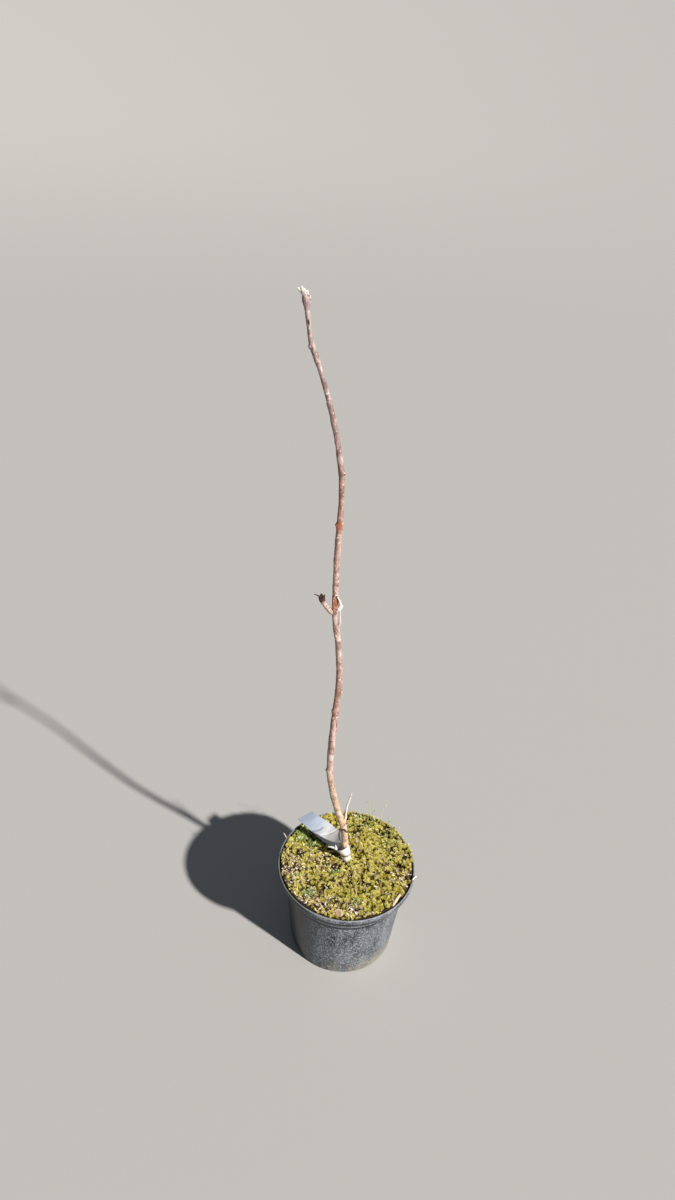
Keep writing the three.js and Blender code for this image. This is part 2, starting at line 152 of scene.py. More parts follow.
# The pale stub beside the wound, a flap of callus, and the dead stalk that hangs from them, as limbs.
STUB_LIMBS = (
    (((-54, 6.5, 806), (-51.5, 5.8, 809.5), (-49, 5, 813), (-46.6, 4.5, 816.5), (-44.5, 4.1, 819)),
     (3.0, 3.6, 4.2, 3.8, 2.2), 40, 28, 0.9),
    (((-53.3, 1.7, 836), (-50.7, 1.7, 832), (-48.6, 2.6, 827), (-47.4, 3.6, 822), (-47, 4.4, 816.5)),
     (0.7, 1.3, 1.7, 1.8, 1.4), 40, 14, 0.5),
    (((-47, 4.6, 815), (-46.8, 3.4, 810), (-46.6, 3.2, 797), (-45.2, 3.4, 784), (-45.6, 3.4, 781.2),
      (-48.6, 3.2, 780.8)),
     (1.1, 0.9, 0.85, 0.85, 0.9, 0.5), 36, 8, 0.2),
)

# Splinters of the broken leader, as limbs whose places are measured from the stem's end.
SPLINTERS = (
    (((0.9, 0, -5), (0.2, 0, 0), (-1.6, 0.1, 4), (-4, 0.2, 7.4), (-6.6, 0.3, 10)),
     (5.0, 5.3, 4.6, 3.3, 1.3), 50, 30, 1.3),
    (((-2.2, -0.8, 1), (-4, -0.7, 5.4), (-5.6, -0.2, 9.4), (-6.3, 0.2, 13)),
     (2.9, 2.6, 1.9, 0.8), 34, 18, 0.9),
    (((-3.6, 0.6, 2.6), (-8, 0.8, 6.6), (-12, 0.6, 10.6)), (2.5, 1.9, 0.8), 28, 14, 0.7),
    (((4.0, -1.2, -7), (5.0, -1.3, -2.6), (5.4, -1.4, 2.4)), (2.4, 2.3, 1.1), 26, 16, 0.8),
    (((1.8, 1.2, 1), (2.2, 1.6, 5), (1.4, 1.8, 9)), (2.4, 1.5, 0.4), 26, 14, 0.7),
    (((-0.2, -2.2, 1), (-1.2, -2.6, 5), (-2.6, -2.4, 8.8)), (2.0, 1.3, 0.4), 24, 12, 0.6),
)

# The label's card, from the collar's mouth outwards: a place on its left edge, then the one across from it.
# The heights of the first five pairs come from a fit that evened the light on the grey panel, and all but
# the first pair were then moved. They aren't measured.
CARD_EDGES = (
    (-21.2, 14.4, 228.3, -11.8, 26, 230.1),
    (-25.2, 21.4, 224.2, -14.9, 54.9, 224.7),
    (-31.2, 28.5, 220.4, -16.7, 68.9, 222),
    (-39.7, 36.4, 216.5, -22.4, 74.7, 220.2),
    (-50, 46.1, 213, -30.7, 84.7, 218.8),
    (-60.5, 55.9, 213, -40.3, 92.6, 219.5),
    (-75.6, 72, 211.5, -53.1, 101.9, 220.5),
    (-91, 88.5, 209.8, -64.8, 110, 220.5),
    (-107.8, 109.6, 206, -77.9, 124.7, 217),
)

# The crease where the card's grey panel of painted shade ends: shares of the way across it, and along it at
# each of them.
CREASE_ACROSS = (0, 0.285, 0.43, 0.685, 1)
CREASE_ALONG = (0.55, 0.5, 0.442, 0.388, 0.325)

# The label's tongues: start, run to the tip, direction across, width at both ends, rise of the bow, facing.
TONGUES = (
    ((-20.5, 9.5, 234), (-19.5, 3.8, 2), (0.2, 0.9, 0.3), 5.5, 2.2, 1.4, (0.0, -0.35, 0.94)),
    ((-22, 9.6, 234), (-2.6, 2.8, 9), (0.75, 0.6, 0.2), 4.4, 1.2, 0.0, (0.55, -0.8, 0.2)),
)

# Painted shadow under the lip and under the band: strips of the pot's wall kept free of dust. Where each
# begins, where it is fully clear of dust, and its top.
PAINTED_SHADOW_STRIPS = ((171.5, 178, 197.5), (156, 161, 168.5))

# Painted highlight on the pot, at the lip and at the band's lower edge: foot, where it is at full strength,
# top, and how strong it is.
PAINTED_HIGHLIGHT_EDGES = ((204.8, 206.8, 300, 0.5), (168.8, 169.8, 172, 0.22))

# Number of drain holes in the pot's floor.
DRAINS = 8

# The stage's floor, in metres: flat at first, then rising up to its slope in degrees, as far as its reach.
FLOOR_FLAT = 5
FLOOR_STEEP = 20
FLOOR_REACH = 120
FLOOR_SLOPE = 10
FLOOR_SIDES = 96

# How far the camera sees, in metres: past the floor's rim.
VIEW_REACH = 200

# The photograph's focal length and long side in pixels, and the film's long side.
FOCAL_PIXELS = 787
LONG_SIDE_PIXELS = 1200
FILM_SIDE = 36

# A whole turn in radians, as the random bearings take it.
FULL_TURN = 6.28

# Large odd numbers that mix a place and a seed into random bits.
MIX = (73856093, 19349663, 83492791, 40503, 1274126177)


# Property groups.

def linear(code):
    """An sRGB hex colour as linear red, green and blue."""
    parts = [int(code[i:i + 2], 16) / 255 for i in (1, 3, 5)]
    return tuple(c / 12.92 if c <= 0.04045 else ((c + 0.055) / 1.055) ** 2.4 for c in parts)


def length(name, description, millimetres):
    """A length property with its default in millimetres."""
    return bpy.props.FloatProperty(
        name=name, description=description, default=millimetres / 1000, unit="LENGTH", precision=4)


def colour(name, description, code):
    """A colour property with its default as an sRGB hex code."""
    return bpy.props.FloatVectorProperty(
        name=name, description=description, default=linear(code), size=3, min=0, max=1, subtype="COLOR")


def number(name, description, default):
    """A whole-number property."""
    return bpy.props.IntProperty(name=name, description=description, default=default, min=0)


def factor(name, description, default):
    """A plain number property."""
    return bpy.props.FloatProperty(name=name, description=description, default=default, min=0)


def angle(name, description, degrees):
    """An angle property with its default in degrees."""
    return bpy.props.FloatProperty(
        name=name, description=description, default=math.radians(degrees), unit="ROTATION")


class PotSettings(bpy.types.PropertyGroup):
    """Sizes and colours of the nursery pot."""
    height: length("Height", "From the underside to the top of the lip", 207)
    lip: length("Lip radius", "Outside of the rolled lip", 140)
    lip_inside: length("Lip inner radius", "Inside of the lip at its top", 136.5)
    lip_depth: length("Lip depth", "Height of the rolled lip", 11)
    splay_depth: length("Splay depth", "From the lip's top to where the wall splays out", 19)
    band: length("Band radius", "Outside of the stacking band at its top", 129)
    band_depth: length("Band depth", "From the lip's top to the step under the band", 38)
    band_taper: length("Band taper", "How far the band draws in towards its foot", 3)
    step: length("Step", "Depth and height of the step under the band", 3.5)
    base: length("Base radius", "Outside of the wall at the floor", 108)
    base_round: length("Base rounding", "Radius between wall and underside", 6)
    wall: length("Wall", "Thickness of the wall", 2)
    floor: length("Floor", "Thickness of the floor", 3)
    drain_radius: length("Drain radius", "Radius of a drain hole", 6)
    drain_circle: length("Drain circle", "Radius of the circle of drain holes", 84)
    warp: length("Warp", "How far the thin wall bulges in and out", 0.9)
    plastic: colour("Plastic", "Clean black plastic", "#1d2025")
    # The dust colour also serves for the painted highlight on the lip and the band's edge.
    dust: colour("Dust", "Dried dust and water marks", "#8f969f")
    soil: colour("Soil", "Splashed soil near the foot", "#8f8a7c")


class RootBallSettings(bpy.types.PropertyGroup):
    """Sizes and colours of the root ball's top."""
    radius: length("Radius", "Radius of the filling at the lip", 134)
    top: length("Top", "Height of the levelled filling", 197.3)
    carpet: length("Carpet", "Thinnest covering over the filling", 3)
    swell: length("Swell", "How much thicker the cushions are", 5)
    brim: length("Brim", "How far the covering climbs at the lip", 3.4)
    foot_clear: length("Foot clearance", "Kept free of moss round the stem's foot", 9.5)
    chip_clear: length("Chip clearance", "Kept free of bark chips round the stem's foot", 11)
    chips: number("Chips", "Places tried for a bark chip, of which about a third are used", 7600)
    straws: number("Straws", "Thin dry stalks on the top", 150)
    dark: colour("Dark", "Damp compost in the gaps", "#1a1208")
    compost: colour("Compost", "Dry compost", "#3d2c19")


class MossSettings(bpy.types.PropertyGroup):
    """Sizes and colours of the moss."""
    shoots: number("Shoots", "Places tried for a moss shoot, of which about half are used", 19000)
    stalks: number("Stalks", "Thin hooked stalks at the back", 60)
    spread: length("Spread", "Reach of a shoot's leaves from its stem", 2.3)
    rise: length("Rise", "Height of a shoot", 5.0)
    shade: colour("Shade", "Oldest and most shaded leaves", "#0f0d02")
    olive: colour("Olive", "Older leaves", "#6c6306")
    fresh: colour("Fresh", "Fresh leaves", "#dcd41c")
    tip: colour("Tip", "Dry pale tips", "#fff7b0")
    green: colour("Green", "Seedlings and moss in the shade", "#80a556")


class StemSettings(bpy.types.PropertyGroup):
    """Sizes and colours of the stem."""
    foot: length("Foot radius", "Radius at the foot before the root flare", 7.1)
    tip: length("Tip radius", "Radius at the top", 3.4)
    flare: length("Flare", "How far the root flare stands out", 1.7)
    flare_height: length("Flare height", "Height of the root flare", 9)
    head: length("Head", "Swelling below the broken leader", 2.3)
    head_height: length("Head height", "Length of that swelling", 17)
    relief: length("Relief", "Depth of the bark's furrows and flakes", 0.34)
    rows: number("Rows", "Rings of the mesh along the stem", 1180)
    columns: number("Columns", "Points of the mesh round the stem", 80)
    tan: colour("Tan", "Older bark near the foot", "#dabf9c")
    bark: colour("Bark", "Young bark in the light", "#bc9d93")
    furrow: colour("Furrow", "Bark in its furrows", "#5c403a")
    lilac: colour("Lilac", "Grey bloom on the upper bark", "#998389")
    rubbed: colour("Rubbed", "Bark rubbed down to its cork", "#a05a3b")
    # The eye colour also paints shade down the left side of the stem and of the left spur.
    eye: colour("Eye", "Bud scars and holes", "#331813")
    # The pale colour also paints highlight on the paler stretches and on the left spur's right side.
    pale: colour("Pale", "Lenticels, callus and weathered skin", "#ecdcd4")
    wood: colour("Wood", "Weathered wood of the snag and the cuts", "#e0d6d3")


class LabelSettings(bpy.types.PropertyGroup):
    """Sizes and colours of the blank label."""
    sheet: length("Sheet", "Thickness of the plastic", 0.5)
    slit: length("Slit", "Gap between the collar's cuffs", 4.6)
    foot_radius: length("Foot radius", "Collar's lower edge", 8.2)
    top_radius: length("Top radius", "Collar's upper edge", 15.2)
    foot_height: length("Foot height", "Height of the collar's lower edge", 203.5)
    top_height: length("Top height", "Height of the collar's upper edge", 236)
    white: colour("White", "Sheet in full light", "#dee1e6")
    # Painted shade: the bluish outer end and the grey panel of the card.
    bluish_painted_shade: colour("Cool", "Bluish outer end", "#bdcde7")
    grey: colour("Grey", "Plain grey panel", "#d6d6d7")


class StageSettings(bpy.types.PropertyGroup):
    """The floor, the lights and the camera."""
    floor: colour("Floor", "Plain pale floor and backdrop", "#b4b5b6")
    sky: colour("Sky", "Colour of the even light", "#dfe6f2")
    sky_strength: factor("Sky strength", "Strength of the even light", 0.145)
    backdrop: colour("Backdrop", "Plain colour that is seen beyond the floor", "#cdcac4")
    key: colour("Key", "Colour of the main light", "#fff8ee")
    key_strength: factor("Key strength", "Strength of the main light", 5.9)
    key_softness: angle("Key softness", "Apparent size of the main light", 2)
    key_tilt: angle("Key tilt", "How far the main light stands from overhead", 54.75)
    key_turn: angle("Key turn", "How far the main light stands to the right of the front", 53.4)
    eye: bpy.props.FloatVectorProperty(
        name="Camera", description="Place of the camera", default=(-0.0527, -1.102, 1.496), subtype="XYZ",
        unit="LENGTH")
    pitch: angle("Pitch", "Downward tilt of the camera", 31.09)
    roll: angle("Roll", "Roll of the camera", 3.68)
    lens: bpy.props.FloatProperty(
        name="Lens", description="Focal length for the film's long side",
        default=FOCAL_PIXELS / LONG_SIDE_PIXELS * FILM_SIDE, unit="CAMERA")


# Shapes. In every function below, s is the settings of the part that it makes.

def metres(rows):
    """Rows of millimetres as an array in metres."""
    return np.array(rows, float) / 1000


def ease(low, high, value):
    """Rises smoothly from 0 at low to 1 at high."""
    share = np.clip((value - low) / (high - low), 0, 1)
    return share * share * (3 - 2 * share)


def grain(points, size, seed):
    """Smooth random values from 0 to 1: random numbers at the corners of cubes of a size,
    eased across each cube."""
    scaled = np.asarray(points, float) / size
    cell = np.floor(scaled).astype(np.int64)
    inner = scaled - cell
    inner = inner * inner * (3 - 2 * inner)
    total = np.zeros(scaled.shape[:-1])
    for corner in itertools.product((0, 1), repeat=3):
        x, y, z = (cell[..., i] + corner[i] for i in range(3))
        mixed = (x * MIX[0]) ^ (y * MIX[1]) ^ (z * MIX[2]) ^ (seed * MIX[3] + 977)
        mixed = (mixed ^ (mixed >> 13)) * MIX[4]
        mixed = (mixed ^ (mixed >> 16)) & 0xFFFF
        weight = np.prod([inner[..., i] if corner[i] else 1 - inner[..., i] for i in range(3)], axis=0)
        total += weight * mixed / 0xFFFF
    return total


def rough(points, size, seed, layers=3):
    """Uneven values round 0: layers of grain, each half as large and half as strong as the one before."""
    total = sum((grain(points, size / 2 ** i, seed + i) - 0.5) / 2 ** i for i in range(layers))
    return total * 2 / (2 - 2.0 ** (1 - layers))


def spots(places, x, y):
    """Largest of the named round spots at each place: strength times a bell of the distance over the radius.
    It falls to 0 away from them."""
    total = np.zeros(np.shape(x))
    for right, back, radius, strength in places:
        apart = ((x - right / 1000) ** 2 + (y - back / 1000) ** 2) / (radius / 1000) ** 2
        total = np.maximum(total, strength * np.exp(-apart * 1.2))
    return total


def smooth_path(bends, count):
    """Evenly spaced points on a smooth curve: between two bends each coordinate is the cubic whose end slopes
    are half the difference between the neighbouring bends."""
    bends = np.asarray(bends, float)
    held = np.vstack([2 * bends[0] - bends[1], bends, 2 * bends[-1] - bends[-2]])
    steps = 40
    t = np.linspace(0, 1, steps, endpoint=False)[None, :, None]
    a, b, c, d = (held[i:len(held) - 3 + i][:, None, :] for i in range(4))
    curve = b + 0.5 * t * ((c - a) + t * ((2 * a - 5 * b + 4 * c - d) + t * (3 * b - a - 3 * c + d)))
    curve = np.vstack([curve.reshape(-1, bends.shape[1]), bends[-1]])
    run = np.concatenate([[0], np.cumsum(np.linalg.norm(np.diff(curve, axis=0), axis=1))])
    even = np.linspace(0, run[-1], count)
    return np.stack([np.interp(even, run, curve[:, i]) for i in range(bends.shape[1])], axis=1)


def carried(path, radius, columns, across=(1, 0, 0)):
    """Rings carried along a path: centre + radius * (cos(bearing) * first + sin(bearing) * second), where
    first is the across direction without its part along the path."""
    along = np.gradient(path, axis=0)
    along /= np.linalg.norm(along, axis=1)[:, None]
    first = np.array(across, float) - along * (along @ np.array(across, float))[:, None]
    first /= np.linalg.norm(first, axis=1)[:, None]
    second = np.cross(along, first)
    bearing = np.linspace(0, 2 * np.pi, columns, endpoint=False)[None, :, None]
    outward = np.cos(bearing) * first[:, None] + np.sin(bearing) * second[:, None]
    radius = np.broadcast_to(np.asarray(radius, float).reshape(len(path), -1), (len(path), columns))
    return path[:, None] + radius[..., None] * outward


def grid_faces(rows, columns):
    """Quads of a grid of points whose columns close into a ring, facing out when its rows climb and its
    columns run anticlockwise."""
    row = np.arange(rows - 1)[:, None] * columns
    column = np.arange(columns)[None, :]
    beside = (column + 1) % columns
    quads = np.stack([row + column, row + beside, row + columns + beside, row + columns + column], axis=-1)
    return quads.reshape(-1, 4)


def closed_tube(points):
    """Points and faces of a tube whose ends are closed by fans round their middles."""
    rows, columns = points.shape[:2]
    flat = np.vstack([points.reshape(-1, 3), points[0].mean(0), points[-1].mean(0)])
    near, far = rows * columns, rows * columns + 1
    column = np.arange(columns)
    beside = (column + 1) % columns
    last = (rows - 1) * columns
    start = np.stack([np.full(columns, near), beside, column], axis=1)
    end = np.stack([np.full(columns, far), last + column, last + beside], axis=1)
    return flat, [grid_faces(rows, columns), np.vstack([start, end])]


def gathered(parts):
    """Several shapes as one: their points in a row, their faces counted on from the points before them."""
    points, faces, count = [], [], 0
    for part_points, part_faces in parts:
        points.append(part_points)
        faces += [group + count for group in part_faces]
        count += len(part_points)
    return np.vstack(points), faces


def about_z(angle):
    """A rotation about +Z for each angle."""
    cos, sin, zero, one = np.cos(angle), np.sin(angle), np.zeros_like(angle), np.ones_like(angle)
    return np.stack([cos, -sin, zero, sin, cos, zero, zero, zero, one], axis=-1).reshape(-1, 3, 3)


def turned(spin, tilt, bearing):
    """One rotation for each copy: a spin about +Z, then a tilt away from +Z towards a bearing."""
    cos, sin, zero, one = np.cos(tilt), np.sin(tilt), np.zeros_like(tilt), np.ones_like(tilt)
    lean = np.stack([cos, zero, sin, zero, one, zero, -sin, zero, cos], axis=-1).reshape(-1, 3, 3)
    return about_z(bearing) @ lean @ about_z(spin - bearing)


def copies(shape, faces, places, turns, sizes):
    """Many copies of one small shape: place + turn * (size * point), as points and faces."""
    points = np.einsum("nij,nkj->nki", turns, shape[None] * sizes[:, None, :]) + places[:, None, :]
    counted = faces[None] + (np.arange(len(places)) * len(shape))[:, None, None]
    return points.reshape(-1, 3), counted.reshape(-1, faces.shape[1])


def piece(name, points, faces, material, marks=None, smooth=True, stands_for=()):
    """Makes a mesh object at the origin, with named values on its points, and puts it on the frame."""
    mesh = bpy.data.meshes.new(name)
    groups = faces if isinstance(faces, list) else [faces]
    corners = np.concatenate([group.ravel() for group in groups])
    sizes = np.concatenate([np.full(len(group), group.shape[1]) for group in groups])
    mesh.vertices.add(len(points))
    mesh.vertices.foreach_set("co", np.ascontiguousarray(points, dtype=np.float32).ravel())
    mesh.loops.add(len(corners))
    mesh.loops.foreach_set("vertex_index", corners.astype(np.int32))
    mesh.polygons.add(len(sizes))
    mesh.polygons.foreach_set("loop_start", (np.cumsum(sizes) - sizes).astype(np.int32))
    mesh.update(calc_edges=True)
    for mark, values in (marks or {}).items():
        held = mesh.attributes.new(mark, "FLOAT", "POINT")
        held.data.foreach_set("value", np.ascontiguousarray(values, dtype=np.float32).ravel())
    mesh.polygons.foreach_set("use_smooth", np.full(len(sizes), smooth))
    mesh.materials.append(material)
    made = bpy.data.objects.new(name, mesh)
    bpy.context.scene.collection.objects.link(made)
    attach(made, "root")
    if stands_for:
        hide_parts(*stands_for)
    return made


def weld(made, apart):
    """Joins the points of a mesh that lie closer together than a distance."""
    work = bmesh.new()
    work.from_mesh(made.data)
    bmesh.ops.remove_doubles(work, verts=work.verts, dist=apart)
    work.to_mesh(made.data)
    work.free()


# Materials.

def add(tree, kind, inputs=None, stops=None, **settings):
    """Adds a shader node: its settings, its sockets as plain values or links, and a ramp's stops."""
    node = tree.nodes.new("ShaderNode" + kind)
    for key, value in settings.items():
        setattr(node, key, value)
    for key, value in (inputs or {}).items():
        socket = node.inputs[key]
        if isinstance(value, bpy.types.NodeSocket):
            tree.links.new(value, socket)
        else:
            socket.default_value = value
    if stops:
        ramp = node.color_ramp
        ramp.elements[0].position, ramp.elements[1].position = stops[0][0], stops[-1][0]
        for place, _ in stops[1:-1]:
            ramp.elements.new(place)
        for element, (_, shade) in zip(sorted(ramp.elements, key=lambda e: e.position), stops):
            element.color = (*shade, 1)
    return node


def new_material(name):
    """An empty material and its node tree."""
    material = bpy.data.materials.new(name)
    material.use_nodes = True
    material.node_tree.nodes.clear()
    return material, material.node_tree


def finish(tree, colour_socket, roughness, bump, strength, depth, **sockets):
    """Ends a tree with a Principled shader whose normal is bumped by a height."""
    raised = add(tree, "Bump", {"Height": bump, "Strength": strength, "Distance": depth})
    inputs = {"Base Color": colour_socket, "Roughness": roughness, "Normal": raised.outputs[0]}
    inputs.update({key.replace("_", " "): value for key, value in sockets.items()})
    shader = add(tree, "BsdfPrincipled", inputs)
    add(tree, "OutputMaterial", {"Surface": shader.outputs[0]})


def strip(tree, height, low, high, top, fade, most):
    """A strip of heights: nothing below low, its most from high to the top, and nothing
    past the fade above."""
    rising = add(tree, "MapRange", {0: height, 1: low, 2: high, 3: 0.0, 4: most})
    falling = add(tree, "MapRange", {0: height, 1: top, 2: top + fade, 3: 1.0, 4: 0.0})
    return add(tree, "Math", {0: rising.outputs[0], 1: falling.outputs[0]}, operation="MULTIPLY").outputs[0]


def moulded_polypropylene(s):
    """Black injection-moulded polypropylene, matt from its spark-textured mould. Outdoors it greys with dust
    that dries in specks of 3 mm, in drops of 4 mm and in runs about 17 mm wide and 90 mm long. Painted shade
    thins the dust on the left flank, and painted shadow keeps it off strips under the lip and the band.
    Painted highlight lightens the top of its lip and the lower edge of its band, and soil splashes beige on
    its foot."""
    material, tree = new_material("moulded_polypropylene")
    speck, drop, cloud, splashed = metres((3.4, 4.2, 50, 13))
    runs_per_metre = (60.0, 60.0, 11.0)
    place = add(tree, "TexCoord").outputs["Object"]
    height = add(tree, "SeparateXYZ", {0: place}).outputs
    specks = add(tree, "TexNoise", {"Vector": place, "Scale": 1 / speck, "Detail": 2.0, "Roughness": 0.7})
    spray = add(tree, "MapRange", {0: specks.outputs[0], 1: 0.5, 2: 0.63, 3: 0.0, 4: 1.0})
    clouds = add(tree, "TexNoise", {"Vector": place, "Scale": 1 / cloud, "Detail": 5.0, "Roughness": 0.6})
    streaks = add(tree, "Mapping", {"Vector": place, "Scale": runs_per_metre})
    runs = add(tree, "TexNoise", {"Vector": streaks.outputs[0], "Scale": 1.0, "Detail": 3.0})
    film = add(tree, "Math", {0: clouds.outputs[0], 1: runs.outputs[0]}, operation="ADD")
    film = add(tree, "MapRange", {0: film.outputs[0], 1: 0.84, 2: 1.2, 3: 0.04, 4: 0.42})
    dust = add(tree, "Math", {0: spray.outputs[0], 1: 0.85, 2: film.outputs[0]}, operation="MULTIPLY_ADD")
    drops = add(tree, "TexNoise", {"Vector": place, "Scale": 1 / drop, "Detail": 1.0, "Roughness": 0.5})
    drops = add(tree, "MapRange", {0: drops.outputs[0], 1: 0.66, 2: 0.7, 3: 0.0, 4: 0.6})
    dust = add(tree, "Math", {0: dust.outputs[0], 1: drops.outputs[0]}, operation="ADD")
    # Painted shade: the dust thins out on the left flank, away from the main light, so that side stays dark.
    painted_shade_flank = add(tree, "MapRange", {0: height[0], 1: -0.084, 2: -0.05, 3: 0.12, 4: 1.0})
    dust = add(tree, "Math", {0: dust.outputs[0], 1: painted_shade_flank.outputs[0]}, operation="MULTIPLY")
    # Painted shadow: strips under the lip and under the band are kept free of dust, so they stay dark.
    for low, high, top in metres(PAINTED_SHADOW_STRIPS):
        shadow_strip = strip(tree, height[2], low, high, top, 0.001, 0.95)
        kept = add(tree, "Math", {0: 1.0, 1: shadow_strip}, operation="SUBTRACT")
        dust = add(tree, "Math", {0: dust.outputs[0], 1: kept.outputs[0]}, operation="MULTIPLY")
    # Painted highlight: the top of the lip and the band's lower edge are lightened towards the dust colour.
    for low, high, top, highlight_strength in PAINTED_HIGHLIGHT_EDGES:
        edge = strip(tree, height[2], low / 1000, high / 1000, top / 1000, 0.002, highlight_strength)
        dust = add(tree, "Math", {0: dust.outputs[0], 1: edge}, operation="ADD", use_clamp=True)
    foot = add(tree, "MapRange", {0: height[2], 1: 0.075, 2: 0.004, 3: 0.0, 4: 1.0})
    splash = add(tree, "TexNoise", {"Vector": place, "Scale": 1 / splashed, "Detail": 8.0, "Roughness": 0.78})
    side = add(tree, "MapRange", {0: height[0], 1: -0.09, 2: 0.07, 3: 0.1, 4: 0.34})
    soil = add(tree, "Math", {0: foot.outputs[0], 1: side.outputs[0]}, operation="MULTIPLY")
    soil = add(tree, "Math", {0: soil.outputs[0], 1: splash.outputs[0]}, operation="ADD")
    soil = add(tree, "MapRange", {0: soil.outputs[0], 1: 0.66, 2: 0.82, 3: 0.0, 4: 0.8})
    # The dust mix holds real dust, the painted shade of the left flank, the painted shadow of the strips and
    # the painted highlight of the edges.
    grey = add(tree, "Mix", {0: dust.outputs[0], 6: (*s.plastic, 1), 7: (*s.dust, 1)}, data_type="RGBA")
    tint = add(tree, "Mix", {0: soil.outputs[0], 6: grey.outputs[2], 7: (*s.soil, 1)}, data_type="RGBA")
    matt = add(tree, "MapRange", {0: dust.outputs[0], 1: 0.1, 2: 0.8, 3: 0.36, 4: 0.8})
    finish(tree, tint.outputs[2], matt.outputs[0], specks.outputs[0], 0.4, 0.0005, Specular_IOR_Level=0.25)
    return material


def damp_compost(s):
    """Composted bark and peat: crumbly, dark where damp and lighter where it has dried, in
    crumbs of 1 to 3 mm."""
    material, tree = new_material("damp_compost")
    crumb = 0.0028
    place = add(tree, "TexCoord").outputs["Object"]
    crumbs = add(tree, "TexNoise", {"Vector": place, "Scale": 1 / crumb, "Detail": 5.0, "Roughness": 0.65})
    tint = add(tree, "ValToRGB", {0: crumbs.outputs[0]}, stops=((0.35, s.dark), (0.68, s.compost)))
    finish(tree, tint.outputs[0], 0.95, crumbs.outputs[0], 0.8, 0.0012)
    return material


def tinted(name, tones, size, roughness, relief, **sockets):
    """A surface whose ramp of tones follows each point's own tone, roughened by grain of a size in metres."""
    material, tree = new_material(name)
    place = add(tree, "TexCoord").outputs["Object"]
    fine = add(tree, "TexNoise", {"Vector": place, "Scale": 1 / size, "Detail": 3.0, "Roughness": 0.6})
    own = add(tree, "Attribute", attribute_name="tone")
    shift = add(tree, "MapRange", {0: fine.outputs[0], 1: 0.3, 2: 0.7, 3: -0.08, 4: 0.08})
    tone = add(tree, "Math", {0: own.outputs["Fac"], 1: shift.outputs[0]}, operation="ADD", use_clamp=True)
    ramp = add(tree, "ValToRGB", {0: tone.outputs[0]}, stops=tones)
    finish(tree, ramp.outputs[0], roughness, fine.outputs[0], 0.4, relief, **sockets)
    return material


def moss_leaf(s):
    """Cushion moss: thin leaves, olive where old, yellow-green where fresh, with dry straw-pale tips."""
    yellow = tuple(0.88 * a + 0.12 * b for a, b in zip(s.fresh, s.tip))
    tones = ((0.0, s.shade), (0.25, s.olive), (0.5, s.fresh), (0.82, yellow), (1.0, s.tip))
    return tinted("moss_leaf", tones, 0.0015, 0.7, 0.0002, Specular_IOR_Level=0.2)


def bark_mulch():
    """Chipped conifer bark and wood: brown and pink-grey plates, bleached straw and old
    needles between them."""
    tones = (
        (0.0, linear("#1c120d")), (0.35, linear("#5f4536")), (0.6, linear("#a0866f")),
        (0.8, linear("#d8c6b0")), (1.0, linear("#fbf0e2")),
    )
    return tinted("bark_mulch", tones, 0.0012, 0.85, 0.0004)


def seedling_leaf(s):
    """Soft young leaves and moss stalks, mid green with yellower edges and a slight waxy gloss."""
    tones = (
        (0.0, linear("#2f4a22")), (0.45, tuple(s.green)), (0.75, linear("#b6c573")), (1.0, linear("#e2e3bd")),
    )
    return tinted("seedling_leaf", tones, 0.002, 0.45, 0.0001)


def young_bark(s):
    """Thin living bark: pink-brown and finely furrowed in fibres about 1 mm wide and 5 mm long, with a
    grey-lilac bloom towards the top, patches rubbed down to orange cork, pale corky lenticels, paler
    stretches that are partly painted highlight, dark bud scars, and painted shade in streaks down the left
    side. The marks come from the mesh."""
    material, tree = new_material("young_bark")
    blotched = 0.011
    fibres_per_metre = (900.0, 900.0, 190.0)
    place = add(tree, "TexCoord").outputs["Object"]
    height = add(tree, "SeparateXYZ", {0: place}).outputs[2]
    drawn = add(tree, "Mapping", {"Vector": place, "Scale": fibres_per_metre})
    fibre = add(tree, "TexNoise", {"Vector": drawn.outputs[0], "Scale": 1.0, "Detail": 4.0, "Roughness": 0.6})
    blotch = add(tree, "TexNoise", {"Vector": place, "Scale": 1 / blotched, "Detail": 4.0, "Roughness": 0.6})
    bloom = add(tree, "MapRange", {0: height, 1: 0.98, 2: 1.16, 3: 0.0, 4: 0.85})
    aged = add(tree, "MapRange", {0: height, 1: 0.5, 2: 0.26, 3: 0.0, 4: 1.0})
    skin = add(tree, "Mix", {0: aged.outputs[0], 6: (*s.bark, 1), 7: (*s.tan, 1)}, data_type="RGBA")
    skin = add(tree, "Mix", {0: bloom.outputs[0], 6: skin.outputs[2], 7: (*s.lilac, 1)}, data_type="RGBA")
    mixed = add(tree, "Math", {0: fibre.outputs[0], 1: blotch.outputs[0]}, operation="ADD")
    deep = add(tree, "MapRange", {0: mixed.outputs[0], 1: 1.14, 2: 0.8, 3: 0.0, 4: 0.85})
    tint = add(tree, "Mix", {0: deep.outputs[0], 6: skin.outputs[2], 7: (*s.furrow, 1)}, data_type="RGBA")
    for mark, shade in (("rubbed", s.rubbed), ("pale", s.pale), ("eye", s.eye)):
        own = add(tree, "Attribute", attribute_name=mark)
        tint = add(tree, "Mix", {0: own.outputs["Fac"], 6: tint.outputs[2], 7: (*shade, 1)}, data_type="RGBA")
    finish(tree, tint.outputs[2], 0.7, fibre.outputs[0], 0.5, 0.0003)
    return material


